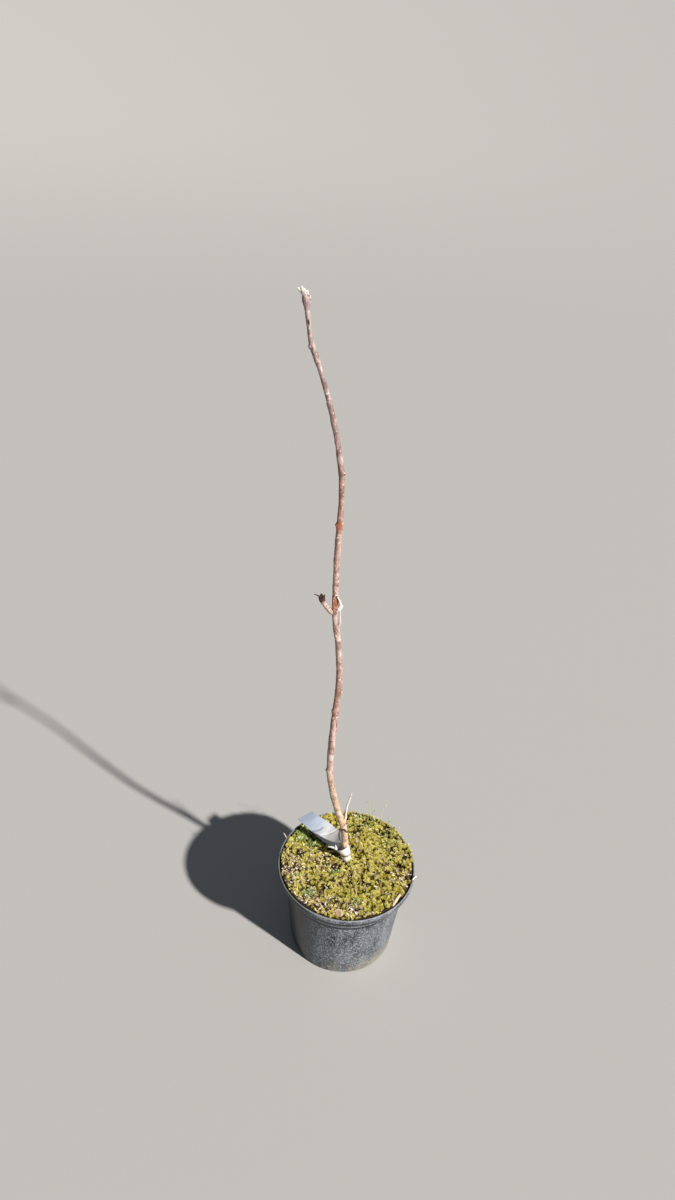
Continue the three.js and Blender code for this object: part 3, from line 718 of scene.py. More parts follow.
def weathered_wood(s):
    """Bare wood left by a break or a cut: bleached grey-white, split along its fibres of about 1 mm by 4 mm,
    and dark inside the splits."""
    material, tree = new_material("weathered_wood")
    fibres_per_metre = (1100.0, 1100.0, 240.0)
    place = add(tree, "TexCoord").outputs["Object"]
    drawn = add(tree, "Mapping", {"Vector": place, "Scale": fibres_per_metre})
    fibre = add(tree, "TexNoise", {"Vector": drawn.outputs[0], "Scale": 1.0, "Detail": 4.0, "Roughness": 0.7})
    own = add(tree, "Attribute", attribute_name="eye")
    ramp = add(tree, "ValToRGB", {0: fibre.outputs[0]},
               stops=((0.26, linear("#6f625c")), (0.43, tuple(s.wood)), (0.68, linear("#f8f4f0"))))
    tint = add(tree, "Mix", {0: own.outputs["Fac"], 6: ramp.outputs[0], 7: (*s.eye, 1)}, data_type="RGBA")
    finish(tree, tint.outputs[2], 0.8, fibre.outputs[0], 0.6, 0.0004)
    return material


def label_sheet(s):
    """Thin matt polypropylene label stock, blank: white, with a bluish outer end and a grey panel by the
    collar that are painted shade. It shows faint handling marks of about 12 mm and the specks of soil that
    rain splashes on it."""
    material, tree = new_material("label_sheet")
    handled, speck = metres((12, 1.6))
    grease, mud = linear("#b9bcc4"), linear("#6d5c48")
    place = add(tree, "TexCoord").outputs["Object"]
    bluish_painted_shade = add(tree, "Attribute", attribute_name="bluish_painted_shade")
    painted_shade_panel = add(tree, "Attribute", attribute_name="painted_shade_panel")
    cloud = add(tree, "TexNoise", {"Vector": place, "Scale": 1 / handled, "Detail": 4.0, "Roughness": 0.6})
    specks = add(tree, "TexNoise", {"Vector": place, "Scale": 1 / speck, "Detail": 2.0})
    soil = add(tree, "MapRange", {0: specks.outputs[0], 1: 0.66, 2: 0.74, 3: 0.0, 4: 0.35})
    base = add(tree, "Mix", {0: bluish_painted_shade.outputs["Fac"], 6: (*s.white, 1), 7: (*s.bluish_painted_shade, 1)}, data_type="RGBA")
    tint = add(tree, "Mix", {0: painted_shade_panel.outputs["Fac"], 6: base.outputs[2], 7: (*s.grey, 1)}, data_type="RGBA")
    dulled = add(tree, "MapRange", {0: cloud.outputs[0], 1: 0.35, 2: 0.7, 3: 0.0, 4: 0.3})
    tint = add(tree, "Mix", {0: dulled.outputs[0], 6: tint.outputs[2], 7: (*grease, 1)}, data_type="RGBA")
    tint = add(tree, "Mix", {0: soil.outputs[0], 6: tint.outputs[2], 7: (*mud, 1)}, data_type="RGBA")
    finish(tree, tint.outputs[2], 0.38, cloud.outputs[0], 0.12, 0.0008)
    return material


def stage_paper(s):
    """Plain pale backdrop paper, quite matt, with a grain too faint to see."""
    material, tree = new_material("stage_paper")
    fibre = 0.004
    place = add(tree, "TexCoord").outputs["Object"]
    felt = add(tree, "TexNoise", {"Vector": place, "Scale": 1 / fibre, "Detail": 2.0})
    darker = tuple(c * 0.97 for c in s.floor)
    ramp = add(tree, "ValToRGB", {0: felt.outputs[0]}, stops=((0.0, darker), (1.0, tuple(s.floor))))
    finish(tree, ramp.outputs[0], 0.9, felt.outputs[0], 0.05, 0.0003)
    return material


# Pieces.

def rounded(profile, radius):
    """Turns each inner corner of an open profile into a curve that leaves its sides a radius
    before and after it."""
    side = np.diff(profile, axis=0)
    size = np.linalg.norm(side, axis=1)[:, None]
    cut = np.minimum(radius, size * 0.45)
    before = profile[1:-1] - side[:-1] / size[:-1] * cut[:-1]
    after = profile[1:-1] + side[1:] / size[1:] * cut[1:]
    t = np.linspace(0, 1, 4)[None, :, None]
    curve = (1 - t) ** 2 * before[:, None] + 2 * t * (1 - t) * profile[1:-1, None] + t ** 2 * after[:, None]
    return np.vstack([profile[:1], curve.reshape(-1, 2), profile[-1:]])


def divided(profile, longest):
    """The same open profile with points added so that no side is longer than a given length."""
    run = np.concatenate([[0], np.cumsum(np.linalg.norm(np.diff(profile, axis=0), axis=1))])
    places = np.unique(np.round(np.concatenate([run, np.arange(0, run[-1], longest)]), 5))
    return np.stack([np.interp(places, run, profile[:, i]) for i in range(2)], axis=1)


def pot_profile(s):
    """Radius and height of the pot's skin, from its foot up the outside, over the lip and down the inside."""
    step_foot = s.height - s.band_depth - s.step
    step_top = s.height - s.band_depth
    splay = s.height - s.splay_depth
    lip_foot = s.height - s.lip_depth
    wall_top = s.band - s.band_taper - s.step
    foot = s.base - s.base_round
    turn = np.radians([0, 22, 45, 67, 90])
    corner = np.stack([foot + s.base_round * np.sin(turn), s.base_round * (1 - np.cos(turn))], axis=1)
    lip = metres(((-4, -12.2), (-0.6, -11), (0, -8), (0, -3), (-0.8, 0), (-2.4, 0.2), (-3.4, -0.6)))
    lip = lip + (s.lip, s.height)
    outside = np.array((
        (s.base, s.base_round), (wall_top, step_foot), (s.band - s.band_taper, step_top), (s.band, splay)))
    under_lip, under_splay = metres((2, 1))
    inside = np.array((
        (s.lip_inside - under_lip, lip_foot), (s.band - s.wall, splay + under_splay),
        (s.band - s.band_taper - s.wall, step_top + s.wall), (wall_top - s.wall, step_foot + s.wall),
        (s.base - s.wall, s.base_round)))
    bend, longest = metres((1.1, 6))
    turned_over = rounded(np.vstack([outside, lip, inside]), bend)
    return divided(np.vstack([corner[:-1], turned_over, ((foot, s.floor),)]), longest)


def drained_floor(s, height, columns, upwards):
    """The pot's floor at a height, with its drain holes: round each hole, rings blend from its circle to the
    edge of its sector of the ring between the middle disc and the foot, and a fan closes the disc."""
    foot, hub = s.base - s.base_round, 0.06
    half = np.pi / DRAINS
    parts = []
    for hole in range(DRAINS):
        middle = hole * 2 * half
        arc = np.linspace(middle - half, middle + half, columns // DRAINS + 1)
        out = np.linspace(hub, foot, 9)
        edge = np.vstack([
            np.stack([foot * np.cos(arc), foot * np.sin(arc)], axis=1)[:-1],
            np.stack([out[::-1] * np.cos(arc[-1]), out[::-1] * np.sin(arc[-1])], axis=1)[:-1],
            np.stack([hub * np.cos(arc[::-1]), hub * np.sin(arc[::-1])], axis=1)[:-1],
            np.stack([out * np.cos(arc[0]), out * np.sin(arc[0])], axis=1)[:-1],
        ])
        centre = s.drain_circle * np.array((np.cos(middle), np.sin(middle)))
        away = edge - centre
        rim = centre + s.drain_radius * away / np.linalg.norm(away, axis=1)[:, None]
        blend = np.linspace(0, 1, 4)[:, None, None]
        rings = rim[None] * (1 - blend) + edge[None] * blend
        points = np.concatenate([rings, np.full(rings.shape[:2] + (1,), height)], axis=2)
        faces = grid_faces(len(points), points.shape[1])
        parts.append((points.reshape(-1, 3), [faces[:, ::-1] if upwards else faces]))
        if upwards:
            wall = np.stack([np.c_[rim, np.full(len(rim), height)], np.c_[rim, np.zeros(len(rim))]])
            parts.append((wall.reshape(-1, 3), [grid_faces(2, len(rim))]))
    bearing = np.arange(columns) * 2 * np.pi / columns - half
    ring = np.stack([hub * np.cos(bearing), hub * np.sin(bearing), np.full(columns, height)], axis=1)
    column = np.arange(columns)
    fan = np.stack([np.full(columns, columns), (column + 1) % columns, column], axis=1)
    parts.append((np.vstack([ring, (0, 0, height)]), [fan[:, ::-1] if upwards else fan]))
    return parts


def make_pot(s):
    """The thin moulded pot: its profile turned about +Z, with a slow warp that fades out at the floor."""
    columns = 256
    profile = pot_profile(s)
    bearing = np.arange(columns) * 2 * np.pi / columns - np.pi / DRAINS
    radius, height = profile[:, :1], profile[:, 1:]
    x, y = radius * np.cos(bearing), radius * np.sin(bearing)
    points = np.stack([x, y, np.broadcast_to(height, x.shape)], axis=-1)
    free = ease(0.01, 0.09, height)
    bulge = rough(points, 0.075, 3, 2) + 0.35 * np.cos(2 * bearing + 0.7)
    stiff_lip = 1 - 0.6 * ease(0.19, 0.2, height)
    warp = s.warp * free * bulge * stiff_lip
    points[..., 0] += warp * np.cos(bearing)
    points[..., 1] += warp * np.sin(bearing)
    skin = (points.reshape(-1, 3), [grid_faces(*points.shape[:2])])
    floors = drained_floor(s, 0.0, columns, False) + drained_floor(s, s.floor, columns, True)
    shape, faces = gathered([skin, *floors])
    made = piece("nursery_pot", shape, faces, moulded_polypropylene(s), stands_for=("pot",))
    weld(made, 1e-5)


def pressed(x, y):
    """How far the card weighs on the moss: 1 up to 17 mm from its middle line and nothing beyond 22 mm."""
    sides = metres(CARD_EDGES)
    near, far = ((sides[i, :2] + sides[i, 3:5]) / 2 for i in (3, -1))
    along = (far - near) / np.linalg.norm(far - near)
    share = np.clip((x - near[0]) * along[0] + (y - near[1]) * along[1], 0, np.linalg.norm(far - near))
    apart = np.hypot(x - near[0] - share * along[0], y - near[1] - share * along[1])
    return ease(0.022, 0.017, apart)


def carpet_height(s, x, y):
    """Height of the covering on the root ball: a thin layer, thicker in slow swells and where it climbs to
    the lip, most at the back, and thin in the hollows."""
    flat = np.stack([x, y, np.zeros_like(x)], axis=-1)
    swell = ease(0.15, 0.85, grain(flat, 0.026, 11)) + 0.3 * rough(flat, 0.008, 15, 2)
    hollow = spots(HOLLOWS, x, y)
    brim = ease(s.radius - 0.04, s.radius, np.hypot(x, y)) * (0.8 + 0.2 * ease(-0.05, 0.09, y + 0.3 * x))
    loose = (1 - hollow) * (1 - 0.8 * pressed(x, y))
    return s.top + s.carpet + (s.swell * swell + s.brim * brim) * loose - hollow * (s.carpet - 0.0006)


def from_stem(x, y):
    """Distance of places on the root ball's top from the middle of the clearing at the stem's foot."""
    right, back = metres(FOOT_CLEARING)
    return np.hypot(x - right, y - back)


def make_carpet(s, names):
    """The mat of compost and old moss under the shoots: a disc of rings at the covering's
    height, closed below."""
    rows, columns = 120, 288
    radius = (np.linspace(0.012, 1, rows) ** 0.75 * s.radius)[:, None]
    bearing = np.arange(columns)[None] * 2 * np.pi / columns
    x, y = radius * np.cos(bearing), radius * np.sin(bearing)
    height = carpet_height(s, x, y) + 0.0011 * rough(np.stack([x, y, 0 * x], axis=-1), 0.0045, 21, 2)
    under = np.full((1, columns), s.top + 0.0002)
    top = np.stack([x, y, height], axis=-1)
    edge = np.stack([x[-1:], y[-1:], under], axis=-1)
    base = np.stack([x[:1], y[:1], under], axis=-1)
    points = np.concatenate([base, edge, top[::-1]])
    shape, faces = closed_tube(points)
    return piece("compost_carpet", shape, faces, damp_compost(s), stands_for=names)


def moss_shoot():
    """One moss shoot of unit reach and rise: rings of folded leaves, each a keel with two blades, the outer
    ones lying out and the inner ones standing up."""
    blades = np.array(((0, 1, 2), (0, 2, 3), (1, 4, 2), (2, 4, 3)))
    points, faces = [], []
    for count, start, reach, low, rise in ((5, 0.0, 1.0, 0.3, 0.75), (3, 0.5, 0.5, 0.45, 1.0)):
        for i in range(count):
            bearing = (i + start) * 2 * np.pi / count
            leaf = np.array((
                (0.04, 0, low * 0.4), (0.45 * reach, 0.15, low + 0.22), (0.48 * reach, 0, low + 0.12),
                (0.45 * reach, -0.15, low + 0.22), (reach, 0, rise),
            ))
            faces.append(blades + len(points) * len(leaf))
            points.append(leaf @ about_z(np.array([bearing]))[0].T)
    return np.vstack(points), np.vstack(faces)[:, ::-1]


def make_moss(ball, s):
    """The moss: shoots in tufts on the covering, dense and bright in some places, thin where litter lies, and
    over the lip at the back right, in four pieces."""
    rng = np.random.default_rng(7)
    bearing = rng.random(s.shoots) * 2 * np.pi
    over = ease(-0.2, 0.35, bearing) * ease(2.1, 1.6, bearing)
    far = ball.radius * (0.99 + 0.045 * over) * np.sqrt(rng.random(s.shoots))
    x, y = far * np.cos(bearing), far * np.sin(bearing)
    flat = np.stack([x, y, 0 * x], axis=-1)
    bright, litter = spots(BRIGHT_MOSS, x, y), spots(LITTER, x, y)
    hollow, shaded = spots(HOLLOWS, x, y), spots(SHADED_MOSS, x, y)
    clump = ease(0.2, 0.8, grain(flat, 0.0062, 31))
    tuft = ease(0.25, 0.75, grain(flat, 0.0034, 33))
    cover = 0.06 + 0.6 * bright - 0.75 * litter + 0.8 * (grain(flat, 0.017, 35) - 0.5) + 1.05 * tuft
    keep = (rng.random(s.shoots) < cover) & (hollow < 0.5) & (from_stem(x, y) > ball.foot_clear)
    # Tone: lower where the tufts are low and in the shaded spots, both as painted shade; the rest of its
    # spread is the moss's own.
    tone = 0.35 + 0.3 * (clump - 0.5) + 1.05 * (tuft - 0.5) + 0.12 * bright - 0.1 * litter - 0.3 * shaded
    tone += rng.normal(0, 0.3, s.shoots)
    height = np.maximum(carpet_height(ball, x, y) - 0.0005, (far > ball.radius) * (ball.top + 0.0098))
    tall = (0.4 + 0.3 * clump + 0.7 * tuft + 0.15 * bright) * (0.8 + 0.4 * rng.random(s.shoots))
    tall = tall * (1 - 0.5 * pressed(x, y))
    places = np.stack([x, y, height], axis=-1)[keep]
    sizes = np.stack([s.spread * tall, s.spread * tall, s.rise * tall], axis=-1)[keep]
    spin, tilt, heading = rng.random(s.shoots), rng.random(s.shoots), rng.random(s.shoots)
    turns = turned(spin * FULL_TURN, tilt * 0.6, heading * FULL_TURN)[keep]
    tone = np.clip(tone, 0.0, 1)[keep]
    shape, faces = moss_shoot()
    # Each leaf is darker at its foot and paler at its tip: partly old and pale growth, partly painted shade
    # low in the shoot.
    lift = np.clip(shape[:, 2], 0, 1) * 0.6 - 0.24
    material = moss_leaf(s)
    for part, chosen in enumerate(np.array_split(np.arange(len(places)), 4)):
        points, corners = copies(shape, faces, places[chosen], turns[chosen], sizes[chosen])
        marks = {"tone": np.clip(tone[chosen][:, None] + lift[None], 0, 1)}
        piece(f"moss_shoots_{part + 1}", points, corners, material, marks, smooth=False)


def make_chips(s, rng, mulch):
    """Bark chips, thicker in the litter and along the lip: two bent plates of six corners joined round their
    sides, copied to random places on the covering with random sizes and turns."""
    top = ((-1, -0.45, 0), (-0.25, -0.62, 0.16), (0.75, -0.5, 0.1), (1, 0.18, 0), (0.3, 0.6, 0.13),
           (-0.8, 0.5, 0.06))
    under = ((-0.9, -0.4, -0.24), (-0.2, -0.5, -0.1), (0.7, -0.45, -0.14), (0.9, 0.15, -0.24),
             (0.3, 0.5, -0.1), (-0.7, 0.42, -0.2))
    chip = np.array(top + under, float)
    ring = np.arange(6)
    sides = np.stack([ring, ring + 6, (ring + 1) % 6 + 6, (ring + 1) % 6], axis=1)
    sides = np.vstack([sides[:, [0, 1, 2]], sides[:, [0, 2, 3]]])
    fan = np.array([(0, i, i + 1) for i in range(1, 5)])
    faces = np.vstack([fan, (fan + 6)[:, ::-1], sides])
    far = (s.radius - 0.003) * np.sqrt(rng.random(s.chips))
    bearing = rng.random(s.chips) * 2 * np.pi
    x, y = far * np.cos(bearing), far * np.sin(bearing)
    litter = spots(LITTER, x, y)
    cover = 0.25 + 0.75 * litter - 0.2 * spots(BRIGHT_MOSS, x, y) + 0.4 * ease(0.12, 0.13, far)
    keep = (rng.random(len(x)) < cover) & (from_stem(x, y) > s.chip_clear)
    x, y, litter = x[keep], y[keep], litter[keep]
    count = len(x)
    large = 0.0011 + 0.0016 * rng.random(count) ** 2 + 0.0013 * litter * rng.random(count)
    sizes = [large * (1 + 0.8 * rng.random(count)), large * (0.6 + 0.4 * rng.random(count)), large]
    lift = (0.0006 + 0.0042 * rng.random(count)) * (1 - 0.5 * spots(HOLLOWS, x, y))
    places = np.stack([x, y, carpet_height(s, x, y) + lift], axis=-1)
    spin, tilt, heading = rng.random(count), rng.random(count), rng.random(count)
    turns = turned(spin * FULL_TURN, tilt ** 2 * 1.2, heading * FULL_TURN)
    points, corners = copies(chip, faces, places, turns, np.stack(sizes, axis=-1))
    tone = np.clip(rng.normal(0.55, 0.36, count) + 0.1 * litter, 0, 1)
    piece("bark_chips", points, corners, mulch, {"tone": np.repeat(tone, len(chip))}, smooth=False)


def random_straw(s, rng):
    """A dry stalk at a random place on the covering: three places along it, its radius and its tone."""
    spread, turn = (s.radius - 0.012) * math.sqrt(rng.random()), rng.random() * FULL_TURN
    middle = np.array((spread * math.cos(turn), spread * math.sin(turn)))
    heading, reach = rng.random() * FULL_TURN, 0.003 + 0.006 * rng.random()
    run = np.array((math.cos(heading), math.sin(heading))) * reach
    bow = np.array((-run[1], run[0])) * rng.normal(0, 0.35)
    flat = np.stack([middle - run, middle + bow, middle + run])
    rise = carpet_height(s, flat[:, 0], flat[:, 1]) + 0.0028 + 0.002 * rng.random(3)
    return np.c_[flat, rise], 0.0003 + 0.0004 * rng.random(), 0.5 + 0.5 * rng.random()


def make_straws(s, rng, mulch):
    """Dry stalks, the long ones and then random ones: rings carried along a bowed line, thinner towards both
    ends and slightly knotted."""
    rings = 9
    straws = [(metres(stalk[:3]), stalk[3] / 1000, stalk[4]) for stalk in LONG_STALKS]
    straws += [random_straw(s, rng) for _ in range(s.straws)]
    narrowed = 1 - 0.55 * np.abs(np.linspace(-1, 1, rings)) ** 3
    knotted = 1 + 0.15 * np.sin(np.arange(rings) * 2.1)
    parts, tones = [], []
    for path, thick, tone in straws:
        points = carried(smooth_path(path, rings), thick * narrowed * knotted, 6, (0, 0, 1))
        parts.append(closed_tube(points))
        tones.append(np.full(len(parts[-1][0]), tone))
    points, corners = gathered(parts)
    piece("dry_stalks", points, corners, mulch, {"tone": np.concatenate(tones)})


def make_pale_chip(mulch):
    """The round pale chip: an oval that dishes with the square of the distance from its middle, roughened,
    with its underside 0.9 mm lower and its edge paler, leaning on the moss."""
    columns, reach = 20, CHIP_REACH / 1000
    edge_tones = (0.6, 0.6, 0.6, 0.66, 0.85)
    disc = np.linspace(0.15, 1, len(edge_tones))[:, None] * reach
    around = np.arange(columns)[None] * 2 * np.pi / columns
    rise = 0.0016 * (disc / reach) ** 2 + 0 * around
    dish = np.stack([disc * np.cos(around) * 1.25, disc * np.sin(around), rise], axis=-1)
    dish += 0.0006 * rough(dish, 0.003, 5, 2)[..., None] * (0, 0, 1)
    points, corners = closed_tube(np.concatenate([dish - (0, 0, 0.0009), dish[::-1]]))
    lean = turned(np.array([0.4]), np.array([0.45]), np.array([4.6]))[0]
    points = points @ lean.T + metres(CHIP_MIDDLE)
    tone = np.concatenate([np.repeat(edge_tones + edge_tones[::-1], columns), (0.6, 0.6)])
    piece("pale_chip", points, corners, mulch, {"tone": tone})


def seedling():
    """A small rosette of unit reach: five oval leaves, each a keel with two blades, cupped upwards."""
    blades = np.array((
        (0, 2, 1), (0, 3, 2), (1, 2, 4), (2, 5, 4), (2, 3, 5), (3, 6, 5), (4, 5, 7), (5, 6, 7)))
    points, faces = [], []
    for i in range(5):
        bearing, tip = i * 2 * np.pi / 5, 0.8 + 0.2 * (i % 2)
        leaf = np.array((
            (0.05, 0, 0), (0.4, 0.2, 0.4), (0.42, 0, 0.33), (0.4, -0.2, 0.4), (0.75 * tip, 0.24, 0.62),
            (0.77 * tip, 0, 0.55), (0.75 * tip, -0.24, 0.62), (tip, 0, 0.62),
        ))
        faces.append(blades + len(points) * len(leaf))
        points.append(leaf @ about_z(np.array([bearing]))[0].T)
    return np.vstack(points), np.vstack(faces)


def make_seedlings(ball, rng, material):
    """Seedlings in the shaded spots: rosettes scattered round the middle of each group and
    set on the covering."""
    shape, faces = seedling()
    middles = np.vstack([
        np.stack([rng.normal(right, reach * 0.55, count), rng.normal(back, reach * 0.55, count)], axis=1)
        for right, back, reach, count in SEEDLING_GROUPS]) / 1000
    middles = middles[np.hypot(*middles.T) < ball.radius - 0.004]
    count = len(middles)
    height = carpet_height(ball, *middles.T) + 0.0034
    large = 0.0031 + 0.0026 * rng.random(count)
    spin, tilt, heading = rng.random(count), rng.random(count), rng.random(count)
    turns = turned(spin * FULL_TURN, tilt * 0.5, heading * FULL_TURN)
    points, corners = copies(shape, faces, np.c_[middles, height], turns, np.stack([large] * 3, axis=-1))
    tone = np.repeat(np.clip(rng.normal(0.52, 0.25, count), 0, 1), len(shape))
    piece("seedlings", points, corners, material, {"tone": tone}, smooth=False)


def random_stalk(rng):
    """A short moss stalk at a random place at the back right: its place, height, lean and tone."""
    bearing, far = rng.uniform(0.1, 1.5), 128 * math.sqrt(rng.uniform(0.5, 1))
    right, back = far * math.cos(bearing), far * math.sin(bearing)
    return right, back, rng.uniform(7, 20), rng.normal(0, 5), rng.uniform(0.5, 1)


def make_moss_stalks(ball, s, rng, material):
    """The thin hooked moss stalks, the tall ones and then random ones: each rises from the covering, leans,
    and hooks over at its tip, where it swells."""
    rings = 16
    thick = 0.00055 - 0.00022 * np.linspace(0, 1, rings)
    thick[-3:-1] += 0.0004
    stalks = [*TALL_STALKS, *(random_stalk(rng) for _ in range(s.stalks - len(TALL_STALKS)))]
    parts, tones = [], []
    for right, back, tall, lean, tone in stalks:
        foot = carpet_height(ball, np.array(right / 1000), np.array(back / 1000)) * 1000
        hook = np.sign(lean) * min(4.5, tall * 0.3)
        bends = metres((
            (right, back, foot),
            (right + lean * 0.2, back, foot + tall * 0.5),
            (right + lean * 0.6, back - 0.5, foot + tall * 0.88),
            (right + lean * 0.6 + hook * 0.6, back - 1, foot + tall),
            (right + lean * 0.6 + hook * 1.3, back - 1.4, foot + tall * 0.93),
        ))
        parts.append(closed_tube(carried(smooth_path(bends, rings), thick, 6)))
        tones.append(np.full(len(parts[-1][0]), tone))
    points, corners = gathered(parts)
    piece("moss_stalks", points, corners, material, {"tone": np.concatenate(tones)})


def stem_line(s, ball, rows):
    """The stem's middle line from the root ball's top to the break, its radius, and the run along it: a
    straight taper with a root flare at the foot, two slow swellings and a swollen head."""
    steps = 4000
    whole = smooth_path(metres(STEM_BENDS), steps)
    start = np.searchsorted(whole[:, 2], ball.top)
    share = np.linspace(0, 1, steps)[start:]
    line = whole[start:]
    pick = np.linspace(0, len(line) - 1, rows)
    line = np.stack([np.interp(pick, np.arange(len(line)), line[:, i]) for i in range(3)], axis=1)
    share = np.interp(pick, np.arange(len(share)), share)
    run = np.concatenate([[0], np.cumsum(np.linalg.norm(np.diff(line, axis=0), axis=1))])
    radius = s.foot + (s.tip - s.foot) * share
    flare = s.flare * (1 - ease(0, s.flare_height, run))
    radius += flare + s.head * (1 - ease(0.002, s.head_height, run[-1] - run))
    for middle, half, out in metres(SWELLINGS):
        radius += out * np.exp(-((line[:, 2] - middle) / half) ** 2)
    return line, radius, run


def turn_from(bearing, facing):
    """The turn from a bearing in degrees to each bearing in radians, the shorter way round."""
    return np.angle(np.exp(1j * (bearing - math.radians(facing))))


def patches(places, bearing, height):
    """Soft ovals on the stem, added up: strength times a bell of the height times a bell of the turn."""
    total = 0
    for centre, half, strength, facing in places:
        up = (height - centre / 1000) / (half / 1000)
        turn = turn_from(bearing, facing) / 1.25
        total = total + strength * (np.exp(-up ** 2) * np.exp(-turn ** 2))
    return total


def bark_skin(s, around, height, flat):
    """Relief and marks of plain bark: furrows drawn out along the stem, flakes and lenticels, knobs that grow
    towards the top, rubbed stretches, pale stretches that are partly painted highlight, dark pits, and
    painted shade in streaks down the left side."""
    furrow = rough(flat * (1, 1, 0.22), 0.0022, 41, 3)
    flake = ease(0.52, 0.6, grain(flat * (1, 1, 0.5), 0.0045, 47)) * ease(0.35, 0.6, grain(flat, 0.03, 48))
    knobby = rough(flat * (1, 1, 0.5), 0.012, 51, 2)
    lens = ease(0.74, 0.86, grain(flat * (0.9, 0.9, 1.1), 0.0022, 55))
    upper = ease(1.02, 1.2, height)
    relief = s.relief * (furrow + 0.9 * flake + 0.6 * lens) + (0.00045 + 0.0005 * upper) * knobby
    rubbed = patches(RUBBED_BARK, around, height)
    rubbed = np.clip(rubbed * ease(0.25, 0.6, grain(flat * (1, 1, 0.45), 0.006, 61) + 0.3 * rubbed), 0, 0.9)
    # Paler stretches towards the main light: partly paler skin, partly painted highlight.
    pale = patches(PALE_BARK_AND_PAINTED_HIGHLIGHT, around, height) * ease(0.35, 0.7, grain(flat * (1, 1, 0.5), 0.007, 65))
    pale = pale + 0.95 * lens * (0.5 + 0.5 * grain(flat, 0.04, 67))
    eye = 0.6 * ease(0.8, 0.92, grain(flat * (1, 1, 0.7), 0.0042, 71) + 0.05 * upper)
    # Painted shade: dark streaks down the stem's left side, away from the main light, go into the eye mark.
    facing, spread = PAINTED_SHADE_SIDE
    painted_shade = np.exp(-(turn_from(around, facing) / math.radians(spread)) ** 2)
    streaks = 0.3 + 0.3 * ease(0.35, 0.65, grain(flat * (1, 1, 0.4), 0.006, 73))
    eye = np.maximum(eye, streaks * painted_shade * ease(0.34, 0.45, height))
    return relief - 0.00012 * ease(0.2, 0.7, rubbed), rubbed, pale, eye


def with_buds(relief, pale, eye, around, height, girth):
    """Adds the buds and leaf scars: each is a pointed bell that stands off the bark on a low ring round the
    stem, pale at its tip where it is sound, and dark and sunk below its middle where it is a scar."""
    for centre, facing, rise, size, dark in STEM_NODES:
        turn = turn_from(around, facing) * girth * 1000
        up = (height * 1000 - centre) / (size * 0.5)
        side = turn / (2.1 + rise * 0.9)
        bud = np.exp(-(up * 1.1) ** 2 * (1 + 0.8 * (up > 0)) - side ** 2)
        ring = np.exp(-(up * 1.6) ** 2) * 0.22
        relief = relief + (rise * bud + ring) / 1000
        pale = pale + 0.55 * ease(0.35, 0.9, bud) * (1 - dark)
        eye = np.maximum(eye, dark * ease(0.55, 0.85, np.exp(-((up + 0.25) * 2.1) ** 2 - (side * 1.5) ** 2)))
        relief = relief - 0.0007 * dark * np.exp(-((up + 0.25) * 2.4) ** 2 - (side * 1.8) ** 2)
    return relief, pale, eye


def with_wound(relief, rubbed, pale, eye, around, height, flat):
    """Adds the wound of a cut branch: an oval of orange wood, darker in its lower half, inside a dark rim
    and a pale roll of callus that is strongest at the upper right."""
    middle, facing, half, spread = WOUND
    turn = turn_from(around, facing) / math.radians(spread)
    up = (height * 1000 - middle) / half
    ring = np.hypot(turn, up)
    inside = ease(1.0, 0.85, ring)
    upper_right = ease(-0.2, 0.5, 0.75 * turn + 0.65 * up)
    rubbed = np.maximum(rubbed, 0.95 * inside * (1 - 0.35 * ease(0.3, 0.7, grain(flat, 0.0025, 79))))
    pale = np.maximum(pale * ease(0.9, 1.1, ring), 0.9 * np.exp(-((ring - 1.28) / 0.13) ** 2) * upper_right)
    eye = np.maximum(eye * ease(0.9, 1.2, ring), 0.95 * np.exp(-((ring - 1.02) / 0.11) ** 2) * upper_right)
    eye = np.maximum(eye, 0.45 * inside * ease(0.1, -0.7, up))
    callus = 0.0011 * np.exp(-((ring - 1.3) / 0.22) ** 2) * (0.35 + 0.65 * upper_right)
    return relief + callus - 0.0005 * ease(1.05, 0.8, ring), rubbed, pale, eye


def make_stem(s, ball):
    """The stem: rings carried along its line with the bark's relief added to their radius, and a torn upper
    end. Its marks say where the bark is rubbed, pale or dark."""
    line, radius, run = stem_line(s, ball, s.rows)
    bearing = np.arange(s.columns)[None] * 2 * np.pi / s.columns
    height = np.broadcast_to(line[:, 2:], (s.rows, s.columns))
    around = np.broadcast_to(bearing, height.shape)
    along = np.broadcast_to(run[:, None], height.shape)
    girth = radius[:, None]
    flat = np.stack([girth * np.cos(around), girth * np.sin(around), along], axis=-1)
    relief, rubbed, pale, eye = bark_skin(s, around, height, flat)
    relief, pale, eye = with_buds(relief, pale, eye, around, height, girth)
    relief, rubbed, pale, eye = with_wound(relief, rubbed, pale, eye, around, height, flat)
    points = carried(line, girth + relief, s.columns)
    torn = ease(run[-1] - 0.004, run[-1], run)[:, None] * rough(flat, 0.003, 77, 2)
    points[..., 2] += 0.0012 * torn
    shape, faces = closed_tube(points)
    bark = young_bark(s)
    marks = bark_marks(rubbed, np.clip(pale, 0, 0.85), eye)
    piece("stem_bark", shape, faces, bark, marks, stands_for=("trunk",))
    return bark, line


def limb(path, radius, rows, columns, relief, seed, across=(1, 0, 0)):
    """A side limb: rings carried along a smooth path, with a radius that is interpolated between the given
    ones and roughened. Returns the points and how rough each is."""
    line = smooth_path(metres(path), rows)
    girth = np.interp(np.linspace(0, 1, rows), np.linspace(0, 1, len(radius)), radius)[:, None] / 1000
    bearing = np.arange(columns)[None] * 2 * np.pi / columns
    along = np.linspace(0, 0.001 * rows, rows)[:, None] + 0 * bearing
    flat = np.stack([girth * np.cos(bearing), girth * np.sin(bearing), along], axis=-1)
    rugged = rough(flat, 0.003, seed, 3)
    return carried(line, girth + relief / 1000 * rugged, columns, across), rugged


